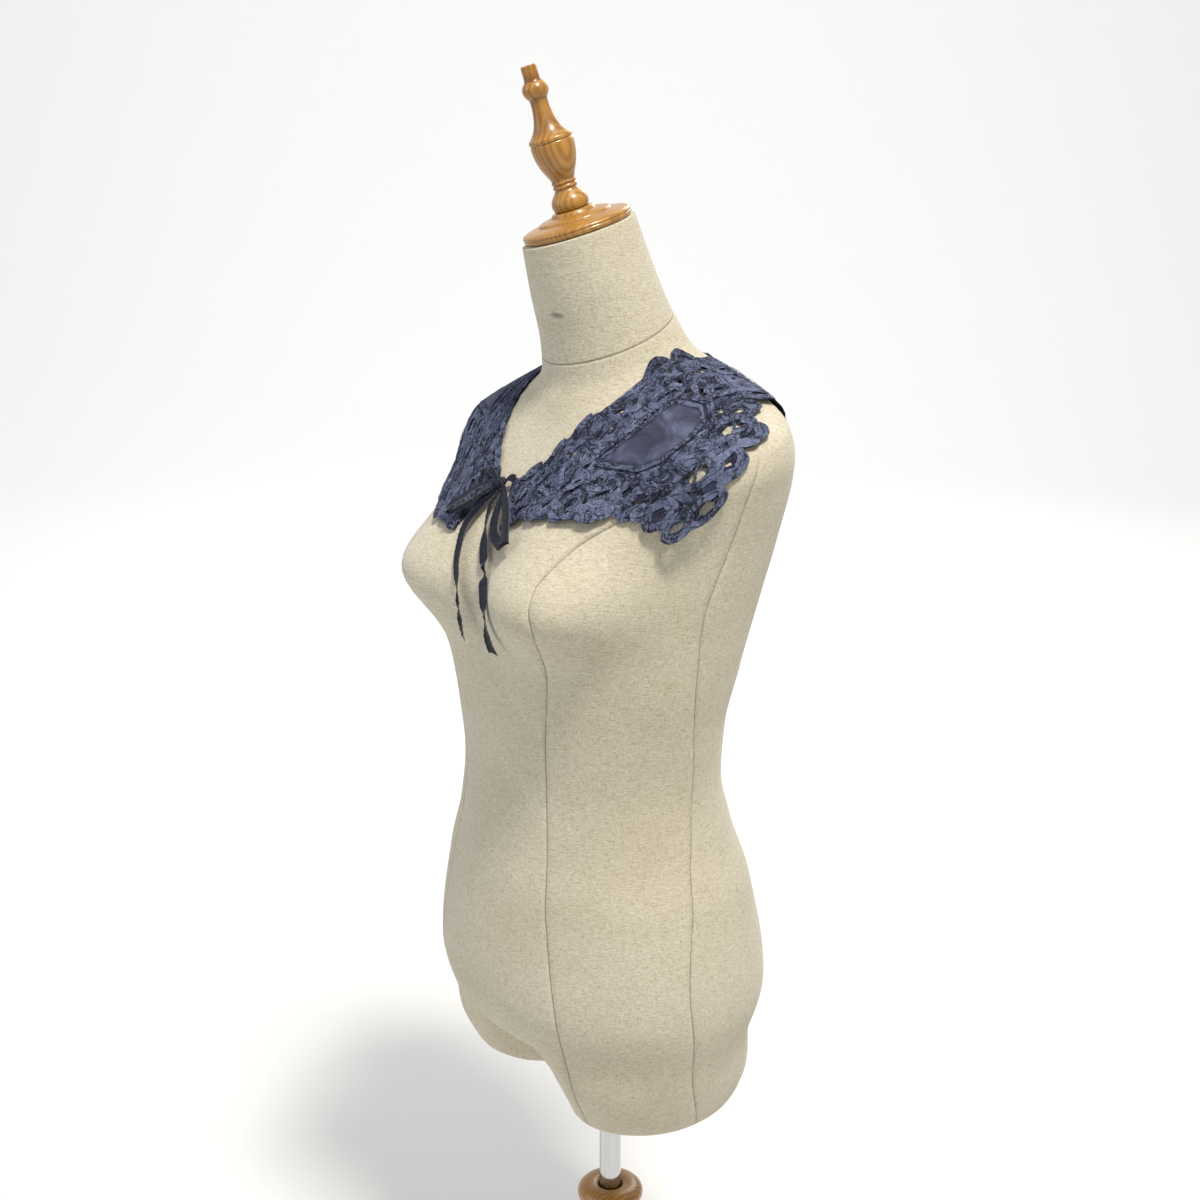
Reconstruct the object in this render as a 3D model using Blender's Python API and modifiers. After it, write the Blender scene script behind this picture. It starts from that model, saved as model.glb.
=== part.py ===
# False collar of tape lace with a ribbon tie, worn on a linen-covered dress form with a turned wooden
# neck cap, finial and counter stand. Metres, +Z up, the front faces -Y, the wearer's left is +X.
import math

import bmesh
import bpy
import numpy as np
from mathutils import Matrix, Vector
from mathutils.bvhtree import BVHTree
from mathutils.geometry import delaunay_2d_cdt

MM = 0.001
MERGE = 0.00005          # merge distance of every modifier that merges

# The stand
BASE_R = 140 * MM
BASE_H = 22 * MM
HUB_TOP = 187 * MM       # height of the wooden hub that the pole slides in
HUB_R = 30.5 * MM
POLE_R = 10 * MM
POLE_IN_POST = 105 * MM  # length of pole hidden in the post at rest
POLE_IN_FORM = 60 * MM
RUNNING_GAP = 0.6 * MM   # round the pole, in the post and in the form
POST_FLOOR = 12 * MM     # wood left under the bore
REST_GAP = 0.3 * MM      # between pieces that touch

# The dress form
WAIST_Z = 615 * MM
FORM_SEGMENTS = 44
CAP_LEAN = (15.5, -8.0)  # the cap leans forward and a little to the wearer's right, degrees
SEAM_GAP = 0.3 * MM

# Rows from the thigh stumps up to the neck: height above the waist, half width, reach of the front and of
# the back from the pole's axis, where the section is widest (+ is backwards), squareness, forward tilt
FORM_SECTIONS = [
    # z,   half, front, back, widest, square, tilt
    (-300, 122, 68, 54, -10, 2.1, 0),
    (-296, 133, 88, 74, -10, 2.1, 0),
    (-282, 140, 98, 84, -11, 2.1, 0),
    (-236, 152, 121, 98, -15, 2.1, 0),
    (-178, 166, 138, 114, -14, 2.1, 0),
    (-90, 152, 130, 100, -14, 2.1, 0),
    (-42, 136, 122, 85, -17, 2.1, 0),
    (5, 129, 118, 75, -22, 2.1, 0),
    (52, 133, 122, 77, -23, 2.1, 0),
    (99, 142, 126, 87, -19, 2.1, 0),
    (170, 151, 118, 102, -4, 2.2, 0),
    (214, 159, 106, 108, 6, 2.3, 2),
    (254, 170, 95, 110, 10, 2.4, 6),
    (276, 175, 87, 106, 12, 2.4, 10),
    (291, 172, 82, 100, 13, 2.4, 13),
    (303, 157, 77, 93, 13, 2.4, 15),
    (315, 132, 72, 84, 12, 2.3, 17),
    (327, 101, 67, 73, 9, 2.2, 19),
    (338, 76, 64, 64, 4, 2.0, 21),
    (353, 62, 59, 57, -1, 2.0, 22),
    (375, 55, 61, 45, -8, 2.0, 21),
    (414, 49, 71, 28, -21, 2.0, 18),
    (449, 44, 79, 14, -32, 2.0, 15.5),
]
RING_HEIGHTS = [
    -300, -296, -288, -272, -254, -236, -208, -178, -134, -90, -42, 5, 52, 88, 112, 132, 148, 160, 172,
    186, 200, 216, 234, 254, 268, 279, 288, 296, 303, 309, 315, 321, 328, 336, 346, 358, 382, 414, 449,
]
BUST = {"height": 172, "angle": 33, "spread": 25, "above": 62, "below": 44, "out": 48}
# the thigh stumps part below this height; their ovals are these shares of the hip's width and depth
CROTCH = {"top": -215, "blend": 60, "least": 30, "centre": 0.56, "wide": 0.44, "depth": 0.91}

# The collar as worn: it sits a little off the form's centre
NECK_AXIS = Vector((-6 * MM, 0, 0))
TURN = -5.0              # degrees about the neck
FRONT_EDGE = (5.5, 14.5)  # plan angle of a half's front edge, at the neck and at its lower corner
CLOTH = 1.2 * MM         # lace ground
TAPE_RISE = 1.3 * MM     # tapes stand this much above the ground
NECK_CLEARANCE = 0.6 * MM  # between the form and the cloth where the neck edge grips
CLEARANCE = 1.9 * MM     # and everywhere past GRIP millimetres below it
GRIP = 14.0
BACK_SEAM = 179.75       # plan angle of the centre-back edge of each half
FLAT_NECK_R = 150.0      # the flat cut is a sector of a ring, in millimetres and degrees
FLAT_SWEEP = 92.0

# Each half as worn: plan angle from the centre front, distance of the neck edge from the neck's axis,
# width of the collar. The tie draws the left front up, so it is narrower there; the backs are the same.
CUT_LEFT = [
    # angle, neck edge, width
    (0, 92, 50),
    (15, 88, 49),
    (26, 83.8, 53),
    (37, 80, 68),
    (51, 77, 90.5),
    (58, 76.2, 99.5),
    (65, 75.2, 105),
    (70, 74.5, 117.5),
    (75, 74.1, 136),
    (79, 73.9, 149),
    (83, 73.5, 148),
    (87, 73, 139),
    (91, 72.3, 129),
    (95, 72, 118),
    (99, 72, 116.5),
    (102, 71, 106.5),
    (105, 71.5, 90),
    (107, 72, 82),
    (110, 74, 77),
    (116, 77.5, 74),
    (123, 82, 78),
    (129, 84, 86),
    (135, 85, 103),
    (142, 83.5, 113),
    (150, 80.5, 118),
    (165, 75, 118),
    (180, 72, 118),
]
CUT_RIGHT = [
    # angle, neck edge, width
    (0, 99, 56),
    (15, 95, 62),
    (22, 91.5, 72),
    (30, 87.5, 85),
    (37, 83, 91.5),
    (45, 78, 98),
    (60, 73.5, 114.5),
    (70, 72.5, 129.5),
    (78, 72, 143),
    (86, 72, 142),
    (93, 71, 138),
    (98, 71, 125),
    (103, 71, 103),
    (109, 71, 91),
    (116, 71, 96),
    (123, 71, 108),
    (135, 71, 119),
    (150, 72, 121),
    (165, 72, 119),
    (180, 72, 118),
]
# where the cloth stands away in soft ridges: angle, spread, rise at the outer edge
RIDGES_LEFT = [(24, 9, 2), (51, 8, 4), (79, 8, 9), (100, 7, 3), (117, 9, 3.5), (141, 10, 2), (168, 8, 2)]
RIDGES_RIGHT = [(20, 8, 2.5), (44, 9, 1.5), (71, 9, 2), (101, 9, 2), (133, 9, 3), (162, 9, 3)]

# where one scallop ends and the next starts, as shares of the outer edge from the front
LOBE_ENDS = [
    0, 0.0625, 0.125, 0.1875, 0.25, 0.3125, 0.352, 0.391, 0.4515, 0.5, 0.5625, 0.625, 0.6875, 0.75, 0.8125, 0.875,
    0.9375, 1,
]
LOBE_DEPTH = 8.0
# the plain lawn insert in each front, going round: angle, distance from the neck edge
INSERT = [
    (57.5, 49), (67, 46.5), (76, 44), (84, 41), (89, 42), (94.5, 58), (92, 71), (85, 80), (77, 86), (71, 79),
    (64, 62),
]
INSERT_STEP = 7.0        # millimetres between points of its edge
INSERT_GAP = 0.35        # between the insert and the lace window, millimetres


# The ribbon tie
KNOT = Vector((-13.5, -99.5, 866.5))
KNOT_SIZE = (10, 8, 10)
KNOT_LEAN = -37          # degrees, as the chest leans under it
KNOT_GAP = 0.4           # to the ends that leave the knot
RIBBON_THICK = 0.8 * MM
RIBBON_PACE = 4.5        # millimetres between sections

LOOPS = ("tie_loop_right", "tie_loop_left")
# name, direction of the width at the start and the end, route from the knot: x, y, z, width
RIBBONS = [
    ("tie_stub_right", ((0, 0.6, 0.8), (0, 0.6, 0.8)), [
        (-6, 0.6, 1, 2.6), (-13, 1.3, 4, 5), (-22, 2.8, 6.8, 7), (-30.5, 4.8, 4.9, 7),
    ]),
    ("tie_stub_left", ((0, 0.6, 0.8), (0, 0.6, 0.8)), [
        (6, 1.3, 1.8, 2), (9.2, 3.6, 5, 4.2), (12.3, 5.2, 4.6, 6),
    ]),
    ("tie_loop_right", ((0.8, -0.5, -0.3), (0.8, -0.5, -0.3)), [
        (-5.6, -3, 0.6, 3), (-9, -6.5, -1, 6), (-18.5, -12.5, -6, 8), (-25.5, -18, -12.5, 9),
        (-32, -24, -18.5, 9), (-36, -29, -23.5, 9), (-37, -30, -25.5, 9), (-35.5, -28.5, -27, 9),
        (-31.5, -25, -25, 9), (-25.5, -18.5, -20, 9), (-18.5, -13, -14.5, 8), (-11, -7.5, -7.5, 5),
        (-5.4, -3.2, -3.2, 3),
    ]),
    ("tie_tail_right", ((0.82, -0.3, -0.46), (0.9, -0.1, 0)), [
        (-3, -1.4, -5.4, 2.4), (-5.5, -4.5, -10, 4), (-10.5, -11, -17, 7), (-14.5, -16, -24, 9),
        (-16.5, -22.5, -32, 9), (-15.5, -28, -40.5, 9), (-12, -33, -49, 9), (-7.5, -38.5, -60, 9),
        (-1.5, -42.5, -75.5, 9), (2.5, -44.5, -90.5, 8), (7.5, -45.5, -106.5, 6.5), (10.5, -44.5, -121, 5.5),
    ]),
    ("tie_tail_left", ((1, 0, 0), (0.97, 0.1, 0)), [
        (0.6, -1.5, -5.7, 2.4), (0.4, -4.5, -10, 4), (-1.5, -8.5, -16, 7), (-1, -12.5, -25, 9), (8, -21.5, -40, 9),
        (24, -34.5, -57.5, 9), (39.5, -45, -74.5, 9), (50, -50, -93, 9), (57, -49, -112, 9), (60, -47, -120, 9),
    ]),
    ("tie_loop_left", ((0.9, 0.3, 0.3), (0.2, 0.5, 0.85)), [
        (3.8, -1, -4.5, 2.4), (7, -4, -9, 4.5), (8.5, -11, -18, 8), (11.5, -17.5, -27, 9), (18.5, -22.5, -36, 9),
        (35, -27, -38.5, 9), (49, -30, -38.5, 9), (53, -31, -35, 9), (47, -26.5, -28.5, 9), (34, -17.5, -17, 9),
        (17, -8, -7, 8), (9, -3.5, -2, 5), (5.6, -2.5, -1, 3),
    ]),
]


def smooth_table(xs, ys, x):
    """Cubic through a table that never overshoots its rows."""
    steps = np.diff(xs)
    slopes = np.diff(ys) / steps
    tangents = np.empty(len(xs))
    tangents[0], tangents[-1] = slopes[0], slopes[-1]
    for i in range(1, len(xs) - 1):
        before, after = slopes[i - 1], slopes[i]
        if before * after <= 0:
            tangents[i] = 0
        else:
            tangents[i] = 2 * before * after / (before + after)
    i = int(np.clip(np.searchsorted(xs, x) - 1, 0, len(xs) - 2))
    t = (x - xs[i]) / steps[i]
    low = (2 * t**3 - 3 * t**2 + 1) * ys[i] + (t**3 - 2 * t**2 + t) * steps[i] * tangents[i]
    high = (-2 * t**3 + 3 * t**2) * ys[i + 1] + (t**3 - t**2) * steps[i] * tangents[i + 1]
    return float(low + high)


def column(table, x, n):
    rows = np.array(table, float)
    return smooth_table(rows[:, 0], rows[:, n], x)


def new_material(name, color, roughness, metallic=0.0):
    material = bpy.data.materials.new(name)
    material.use_nodes = True
    shader = material.node_tree.nodes["Principled BSDF"]
    shader.inputs["Base Color"].default_value = (*color, 1)
    shader.inputs["Roughness"].default_value = roughness
    shader.inputs["Metallic"].default_value = metallic
    return material


def new_object(name, mesh, material, collection):
    made = bpy.data.objects.new(name, mesh)
    collection.objects.link(made)
    mesh.materials.append(material)
    return made


def mesh_of(name, points, faces):
    mesh = bpy.data.meshes.new(name)
    mesh.from_pydata([tuple(p) for p in points], [], faces)
    mesh.validate()
    return mesh


def turned(name, profile, material, collection, steps=24):
    """A lathe-turned solid: profile is (radius, height) in millimetres, from the top down its outer side."""
    mesh = bpy.data.meshes.new(name)
    points = [(r * MM, 0, z * MM) for r, z in profile]
    mesh.from_pydata(points, [(i, i + 1) for i in range(len(points) - 1)], [])
    made = new_object(name, mesh, material, collection)
    screw = made.modifiers.new("turn", "SCREW")
    screw.axis = "Z"
    screw.steps = screw.render_steps = steps
    screw.use_merge_vertices = True
    screw.merge_threshold = MERGE
    return made


# The dress form


def form_ring(height):
    """Points round the form at one height above the waist, in metres from the waist."""
    half, front, back, widest, square, tilt = (column(FORM_SECTIONS, height, n) for n in range(1, 7))
    angles = np.arange(FORM_SEGMENTS) * 2 * math.pi / FORM_SEGMENTS
    across, along = np.cos(angles), np.sin(angles)
    depth = np.where(along < 0, front + widest, back - widest)
    reach = 1 / ((abs(across) / half) ** square + (abs(along) / depth) ** square) ** (1 / square)
    share = min(1.0, max(0.0, (CROTCH["top"] - height) / CROTCH["blend"]))
    share = share * share * (3 - 2 * share)
    if share > 0:
        reach = reach * (1 - share) + share * stump_reach(across, along, half, depth * CROTCH["depth"])
    rise = height - BUST["height"]
    fade = math.exp(-((rise / (BUST["above"] if rise > 0 else BUST["below"])) ** 2))
    from_front = np.degrees(angles) - 270
    for side in (-1, 1):
        mound = np.exp(-(((from_front - side * BUST["angle"]) / BUST["spread"]) ** 2))
        reach = reach + BUST["out"] * fade * mound
    lean = math.radians(tilt)
    aside = math.radians(CAP_LEAN[1]) * min(1.0, max(0.0, (height - 330) / (RING_HEIGHTS[-1] - 330)))
    xs = reach * across * math.cos(aside)
    ys = widest + reach * along * math.cos(lean)
    zs = height + reach * along * math.sin(lean) - reach * across * math.sin(aside) / math.cos(lean)
    return [Vector((x, y, z)) * MM for x, y, z in zip(xs, ys, zs)]


def stump_reach(across, along, half, depth):
    """Distance from the axis to the outline of two thigh ovals side by side."""
    centre, wide = half * CROTCH["centre"], half * CROTCH["wide"]
    found = np.full(len(across), float(CROTCH["least"]))
    for side in (-1, 1):
        a = (across / wide) ** 2 + (along / depth) ** 2
        b = -2 * across * side * centre / wide ** 2
        c = (centre / wide) ** 2 - 1
        root = b * b - 4 * a * c
        far = np.where(root > 0, (-b + np.sqrt(np.maximum(root, 0))) / (2 * a), 0)
        found = np.maximum(found, far)
    return found


def make_form(material, collection, cutters):
    rings = [form_ring(h) for h in RING_HEIGHTS]
    points = [p + Vector((0, 0, WAIST_Z)) for ring in rings for p in ring]
    n = FORM_SEGMENTS
    faces = []
    for k in range(len(rings) - 1):
        for i in range(n):
            j = (i + 1) % n
            a, b, c, d = k * n + i, k * n + j, (k + 1) * n + j, (k + 1) * n + i
            if (points[a] - points[c]).length < (points[b] - points[d]).length:
                faces += [(a, b, c), (a, c, d)]
            else:
                faces += [(a, b, d), (b, c, d)]
    faces.append(tuple(range(n - 1, -1, -1)))
    top = (len(rings) - 1) * n
    faces.append(tuple(range(top, top + n)))
    form = new_object("torso", mesh_of("torso", points, faces), material, collection)
    low = WAIST_Z + RING_HEIGHTS[0] * MM
    bpy.ops.mesh.primitive_cylinder_add(
        vertices=24, radius=POLE_R + RUNNING_GAP, depth=2 * (POLE_IN_FORM + REST_GAP), location=(0, 0, low)
    )
    cutter = bpy.context.object
    cutter.name = "pole_socket_cutter"
    cutter.hide_render = True
    cutter.display_type = "WIRE"
    for home in list(cutter.users_collection):
        home.objects.unlink(cutter)
    cutters.objects.link(cutter)
    cut = form.modifiers.new("pole socket", "BOOLEAN")
    cut.operation = "DIFFERENCE"
    cut.object = cutter
    return form


def neck_top():
    """Centre of the neck's top face and the direction of its axis."""
    ring = form_ring(RING_HEIGHTS[-1])
    centre = sum(ring, Vector()) / len(ring) + Vector((0, 0, WAIST_Z))
    forward, sideways = (math.radians(a) for a in CAP_LEAN)
    return centre, Vector((math.sin(sideways), -math.sin(forward), math.cos(forward))).normalized()


def make_cap_and_finial(wood, collection):
    centre, axis = neck_top()
    turn = Vector((0, 0, 1)).rotation_difference(axis)
    cap_profile = [
        (0, 17), (15.5, 17), (17, 16.4), (18.5, 14.2), (24, 12.8), (28.5, 11.8), (29.5, 10.8), (30.5, 10.3),
        (38, 9), (42.5, 7.6), (44.5, 5.4), (44.5, 3), (43.5, 0.8), (42, 0), (0, 0),
    ]
    finial_profile = [
        (0, 113), (5.8, 113), (6.3, 112.3), (6.3, 101), (8.4, 99.5), (10.2, 96.5), (10.5, 93.8), (9.8, 90.7),
        (8.4, 88.3), (6.9, 87), (7.1, 80.5), (8.4, 72), (11.2, 64.2), (15.2, 59), (17, 57.5), (17.5, 56.3),
        (17.5, 54.6), (16.6, 53.8), (17.4, 52.8), (17.3, 46), (16, 39.3), (13.6, 32.6), (10.6, 26.8),
        (9.2, 23.5), (9.9, 22.3), (9.9, 21), (8.9, 20), (9.8, 18.9), (9.8, 17.4), (8.9, 16.3), (9.6, 14.8),
        (11.5, 12.7), (14, 9.4), (15, 5.8), (14.8, 3), (13.6, 0), (0, 0),
    ]
    cap = turned("neck_cap", cap_profile, wood, collection, steps=28)
    cap.location = centre + axis * REST_GAP
    finial = turned("finial", finial_profile, wood, collection, steps=16)
    finial.location = centre + axis * (17 * MM + 2 * REST_GAP)
    for piece in (cap, finial):
        piece.rotation_mode = "QUATERNION"
        piece.rotation_quaternion = turn


def make_stand(wood, chrome, collection):
    hub, bore = HUB_R / MM, (POLE_R + RUNNING_GAP) / MM
    top, foot = HUB_TOP / MM, BASE_H / MM + 0.3
    base_profile = [
        (0, 22), (60, 22), (96, 20), (112, 16.5), (118, 12.5), (132, 11), (138.5, 8), (140, 4.5), (138.5, 0),
        (0, 0),
    ]
    post_profile = [
        (0, foot + POST_FLOOR / MM), (bore, foot + POST_FLOOR / MM), (bore, top - 2.4), (13, top - 0.6),
        (15.5, top), (22, top), (27, top - 2), (hub, top - 6.5), (30.2, top - 12), (27.5, top - 18),
        (21, top - 23.5), (17, top - 27), (16.5, top - 30), (19.5, top - 33), (19.5, top - 37),
        (16.5, top - 40), (17.2, top - 56), (21, top - 84), (24.6, top - 108), (26, top - 122),
        (23, top - 134), (20, top - 141), (24, top - 145), (34, top - 151), (40, foot + 6), (41, foot + 2),
        (40, foot), (0, foot),
    ]
    turned("base", base_profile, wood, collection, steps=32)
    turned("post", post_profile, wood, collection, steps=24)
    low = HUB_TOP - POLE_IN_POST
    high = WAIST_Z + RING_HEIGHTS[0] * MM + POLE_IN_FORM
    bpy.ops.mesh.primitive_cylinder_add(
        vertices=24, radius=POLE_R, depth=high - low, location=(0, 0, (high + low) / 2)
    )
    pole = bpy.context.object
    pole.name = "pole"
    for home in list(pole.users_collection):
        home.objects.unlink(pole)
    collection.objects.link(pole)
    pole.data.materials.append(chrome)


# How the collar lies on the form


class Drape:
    """The worn shape of one half: a strip laid taut over the form at each plan angle, then eased."""

    STEP = 5.0           # degrees between strips
    LENGTH = 175.0       # millimetres of strip
    PACE = 5.0           # millimetres between its points

    def __init__(self, tree, side, cut, ridges):
        self.tree = tree
        self.side = side
        self.cut = cut
        self.ridges = ridges
        self.angles = np.arange(0, 180 + self.STEP / 2, self.STEP)
        strips = np.array([self.strip(a) for a in self.angles])
        for _ in range(3):
            eased = strips.copy()
            eased[1:-1] = (strips[:-2] + 2 * strips[1:-1] + strips[2:]) / 4
            eased[:, 1:-1] = (eased[:, :-2] + 2 * eased[:, 1:-1] + eased[:, 2:]) / 4
            strips = np.array([[self.clear(Vector(p), k * self.PACE) for k, p in enumerate(s)] for s in eased])
        self.strips = strips

    def heading(self, angle):
        turn = math.radians(self.side * angle + TURN)
        return Vector((math.sin(turn), -math.cos(turn), 0))

    def strip(self, angle):
        """Points down the form from the neck edge, bridging its hollows, in millimetres of arc."""
        out = self.heading(angle)
        start = column(self.cut, angle, 1)
        middle = NECK_AXIS + Vector((0, 0, WAIST_Z + 165 * MM))
        outline = []
        for degrees in range(84, -62, -2):
            tilt = math.radians(degrees)
            ray = out * math.cos(tilt) + Vector((0, 0, math.sin(tilt)))
            hit = self.tree.ray_cast(middle + ray * 0.6, -ray)[0]
            if hit is None:
                continue
            flat = (hit - NECK_AXIS).dot(out) / MM
            outline.append((flat, hit.z / MM))
        first = next(i for i, (flat, z) in enumerate(outline) if flat >= start)
        before, after = outline[first - 1], outline[first]
        share = (start - before[0]) / (after[0] - before[0])
        chain = [(start, before[1] + share * (after[1] - before[1]))]
        for point in outline[first:]:
            while len(chain) > 1 and turns_in(chain[-2], chain[-1], point):
                chain.pop()
            chain.append(point)
        chain = np.array(chain)
        lengths = np.concatenate([[0], np.cumsum(np.hypot(*np.diff(chain, axis=0).T))])
        wanted = np.arange(0, self.LENGTH + 1, self.PACE)
        flats = np.interp(wanted, lengths, chain[:, 0])
        heights = np.interp(wanted, lengths, chain[:, 1])
        points = [NECK_AXIS + out * (f * MM) + Vector((0, 0, z * MM)) for f, z in zip(flats, heights)]
        return [self.clear(p, k * self.PACE) for k, p in enumerate(points)]

    def clear(self, point, down):
        """The point, moved out of the form if it is nearer than the cloth's clearance."""
        wanted = NECK_CLEARANCE + (CLEARANCE - NECK_CLEARANCE) * min(1.0, max(0.0, down / GRIP))
        place, normal, _, _ = self.tree.find_nearest(point)
        off = (point - place).dot(normal)
        if off < wanted:
            point = point + normal * (wanted - off)
        return point

    def at(self, angle, down):
        """A point of the cloth's inside: plan angle in degrees, distance from the neck edge in mm."""
        place = self.bare(angle, down) + self.normal(angle, down) * (self.lift(angle, down) * MM)
        return self.clear(place, down)

    def bare(self, angle, down):
        i = min(max(angle / self.STEP, 0), len(self.angles) - 1.001)
        j = min(max(down / self.PACE, -3), self.strips.shape[1] - 1.001)
        i0, j0 = int(i), max(int(j), 0)
        s, t = i - i0, j - j0
        grid = self.strips
        low = grid[i0, j0] * (1 - s) + grid[i0 + 1, j0] * s
        high = grid[i0, j0 + 1] * (1 - s) + grid[i0 + 1, j0 + 1] * s
        return Vector(low * (1 - t) + high * t)

    def normal(self, angle, down):
        along = self.bare(min(angle + 4, 180), down) - self.bare(max(angle - 4, 0), down)
        across = self.bare(angle, down + 6) - self.bare(angle, down - 6)
        return (across.cross(along) * self.side).normalized()

    def lift(self, angle, down):
        """How far a soft ridge holds the cloth off its taut shape."""
        share = min(1.2, max(0.0, down / column(self.cut, angle, 2)))
        height = 0.0
        for middle, spread, rise in self.ridges:
            height += rise * math.exp(-(((angle - middle) / spread) ** 2))
        return height * share**1.6


def turns_in(a, b, c):
    """True where b lies inside the line from a to c, so a taut strip would not touch it."""
    return (b[0] - a[0]) * (c[1] - a[1]) - (b[1] - a[1]) * (c[0] - a[0]) >= 0


# The flat cut and its lace


def flat_place(angle, down):
    """Where a point of a half lies in the flat cut, in millimetres."""
    turn = math.radians(angle / 180 * FLAT_SWEEP)
    r = FLAT_NECK_R + down
    return Vector((r * math.sin(turn), r * math.cos(turn)))


def worn_place(point):
    """Plan angle and distance from the neck edge of a point of the flat cut."""
    angle = math.degrees(math.atan2(point[0], point[1])) / FLAT_SWEEP * 180
    return angle, math.hypot(point[0], point[1]) - FLAT_NECK_R


def width_at(cut, angle):
    return column(cut, min(max(angle, 0), 180), 2)


def front_edge(share):
    return FRONT_EDGE[0] + (FRONT_EDGE[1] - FRONT_EDGE[0]) * share


def bare_edge(cut):
    """The outer edge before its scallops, from the front corner to the centre back, in the flat cut."""
    angles = np.linspace(front_edge(1), BACK_SEAM, 400)
    return np.array([flat_place(a, width_at(cut, a) - LOBE_DEPTH) for a in angles])


def along_edge(cut, shares):
    """Points at these shares of the bare edge's length, each with the direction that leads outwards."""
    line = bare_edge(cut)
    lengths = np.concatenate([[0], np.cumsum(np.hypot(*np.diff(line, axis=0).T))])
    found = []
    for share in shares:
        reach = share * lengths[-1]
        place = [np.interp(reach, lengths, line[:, n]) for n in (0, 1)]
        ahead = [np.interp(reach + 4, lengths, line[:, n]) for n in (0, 1)]
        behind = [np.interp(reach - 4, lengths, line[:, n]) for n in (0, 1)]
        run = Vector(ahead) - Vector(behind)
        found.append((Vector(place), Vector((-run.y, run.x)).normalized()))
    return found


def outer_edge(cut, points_per_lobe):
    """The scalloped edge from the front corner to the centre back, in the flat cut."""
    steps = [k / points_per_lobe for k in range(points_per_lobe)]
    count = len(LOBE_ENDS) - 1
    reach = [lobe + step for lobe in range(count) for step in steps] + [count]
    shares = np.interp(reach, range(count + 1), LOBE_ENDS)
    edge = []
    for k, (place, out) in enumerate(along_edge(cut, shares)):
        bulge = math.sin(math.pi * steps[k % points_per_lobe]) ** 0.6 if k % points_per_lobe else 0.0
        edge.append(place + out * (LOBE_DEPTH * bulge))
    return edge


NECK_LOBES = [(84, 99, 9.5), (104, 119, 10.0)]  # angle at each end, rise in millimetres


def neck_edge(step):
    """The neck edge from the centre back to the front: small picots in front, two large lobes on the
    shoulder, plain behind."""
    edge = []
    count = int((BACK_SEAM - front_edge(0)) / step)
    for k in range(count + 1):
        angle = BACK_SEAM + (front_edge(0) - BACK_SEAM) * k / count
        down = 0.0
        if angle < 56:
            down -= 2.6 * abs(math.sin(math.pi * angle / 8.0))
        for start, end, rise in NECK_LOBES:
            if start < angle < end:
                down -= rise * math.sin(math.pi * (angle - start) / (end - start)) ** 0.6
        edge.append((angle, down))
    return edge


# Leaves and rings of tape, from the front edge to the centre back: angle, share of the width down from the
# neck edge, length and breadth along the tape's middle, turn from the radial line, length and breadth of
# the opening left inside (0 where it is worked solid)
LEAVES = [
    (18, 0.52, 26, 14, 80, 9.0, 5.2),
    (33, 0.60, 28, 15, 95, 10.0, 6.0),
    (26, 0.30, 20, 12, 70, 6.5, 4.6),
    (47, 0.71, 29, 15, 85, 10.0, 5.8),
    (44, 0.27, 22, 13, 75, 8.0, 5.0),
    (42, 0.46, 26, 13, 40, 0, 0),
    (53, 0.46, 24, 13, 15, 6.0, 4.6),
    (59, 0.64, 27, 14, 60, 9.0, 5.2),
    (60, 0.80, 26, 13, 95, 0, 0),
    (62, 0.22, 24, 13, 80, 7.0, 4.8),
    (68, 0.79, 28, 15, 60, 10.0, 6.0),
    (76, 0.26, 26, 13, 88, 0, 0),
    (84, 0.765, 30, 17, 95, 12.5, 9.0),
    (73, 0.67, 24, 12, 75, 0, 0),
    (85, 0.68, 24, 12, 100, 0, 0),
    (88, 0.23, 24, 13, 92, 7.5, 4.8),
    (92, 0.84, 24, 13, 70, 0, 0),
    (98, 0.785, 30, 20, 95, 15.0, 11.0),
    (99, 0.14, 22, 13, 85, 8.5, 5.2),
    (101, 0.40, 26, 14, 10, 8.0, 5.4),
    (108, 0.64, 27, 15, 90, 9.0, 6.0),
    (111, 0.30, 24, 13, 60, 7.0, 5.0),
    (117, 0.52, 27, 14, 25, 8.0, 5.2),
    (122, 0.75, 27, 15, 85, 9.0, 6.0),
    (124, 0.30, 24, 13, 80, 7.0, 5.0),
    (129, 0.57, 27, 14, 150, 8.5, 5.2),
    (136, 0.78, 28, 15, 90, 10.0, 6.0),
    (137, 0.36, 26, 13, 70, 0, 0),
    (141, 0.58, 27, 14, 20, 9.0, 5.4),
    (149, 0.78, 28, 15, 95, 9.5, 6.0),
    (149, 0.34, 26, 14, 95, 8.0, 5.2),
    (153, 0.57, 27, 14, 155, 8.5, 5.2),
    (162, 0.78, 28, 15, 85, 10.0, 6.0),
    (161, 0.36, 26, 13, 75, 0, 0),
    (165, 0.57, 27, 14, 25, 9.0, 5.4),
    (172, 0.34, 24, 14, 95, 8.0, 5.2),
    (173, 0.78, 26, 15, 95, 9.5, 6.0),
    (176, 0.56, 20, 12, 0, 0, 0),
]
LEAF_SIDES = 10
OPENING_SIDES = 8
LOBE_RING = {"in": 9.5, "long": 22.0, "broad": 14.0}
LOBE_OPENINGS = [(11.5, 6.2), (7.5, 4.8)]     # in turn along the edge
OPEN_LOBE = {"number": 7, "opening": (13.5, 8.6)}


def oval(centre, radial, long, broad, turn, sides):
    """Corners of an oval opening; turn is from the radial line, in degrees."""
    lean = math.radians(turn)
    axis = Matrix.Rotation(lean, 2) @ radial
    cross = Vector((-axis.y, axis.x))
    corners = []
    for k in range(sides):
        t = 2 * math.pi * k / sides
        corners.append(centre + axis * (long / 2 * math.cos(t)) + cross * (broad / 2 * math.sin(t)))
    return corners


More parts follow.
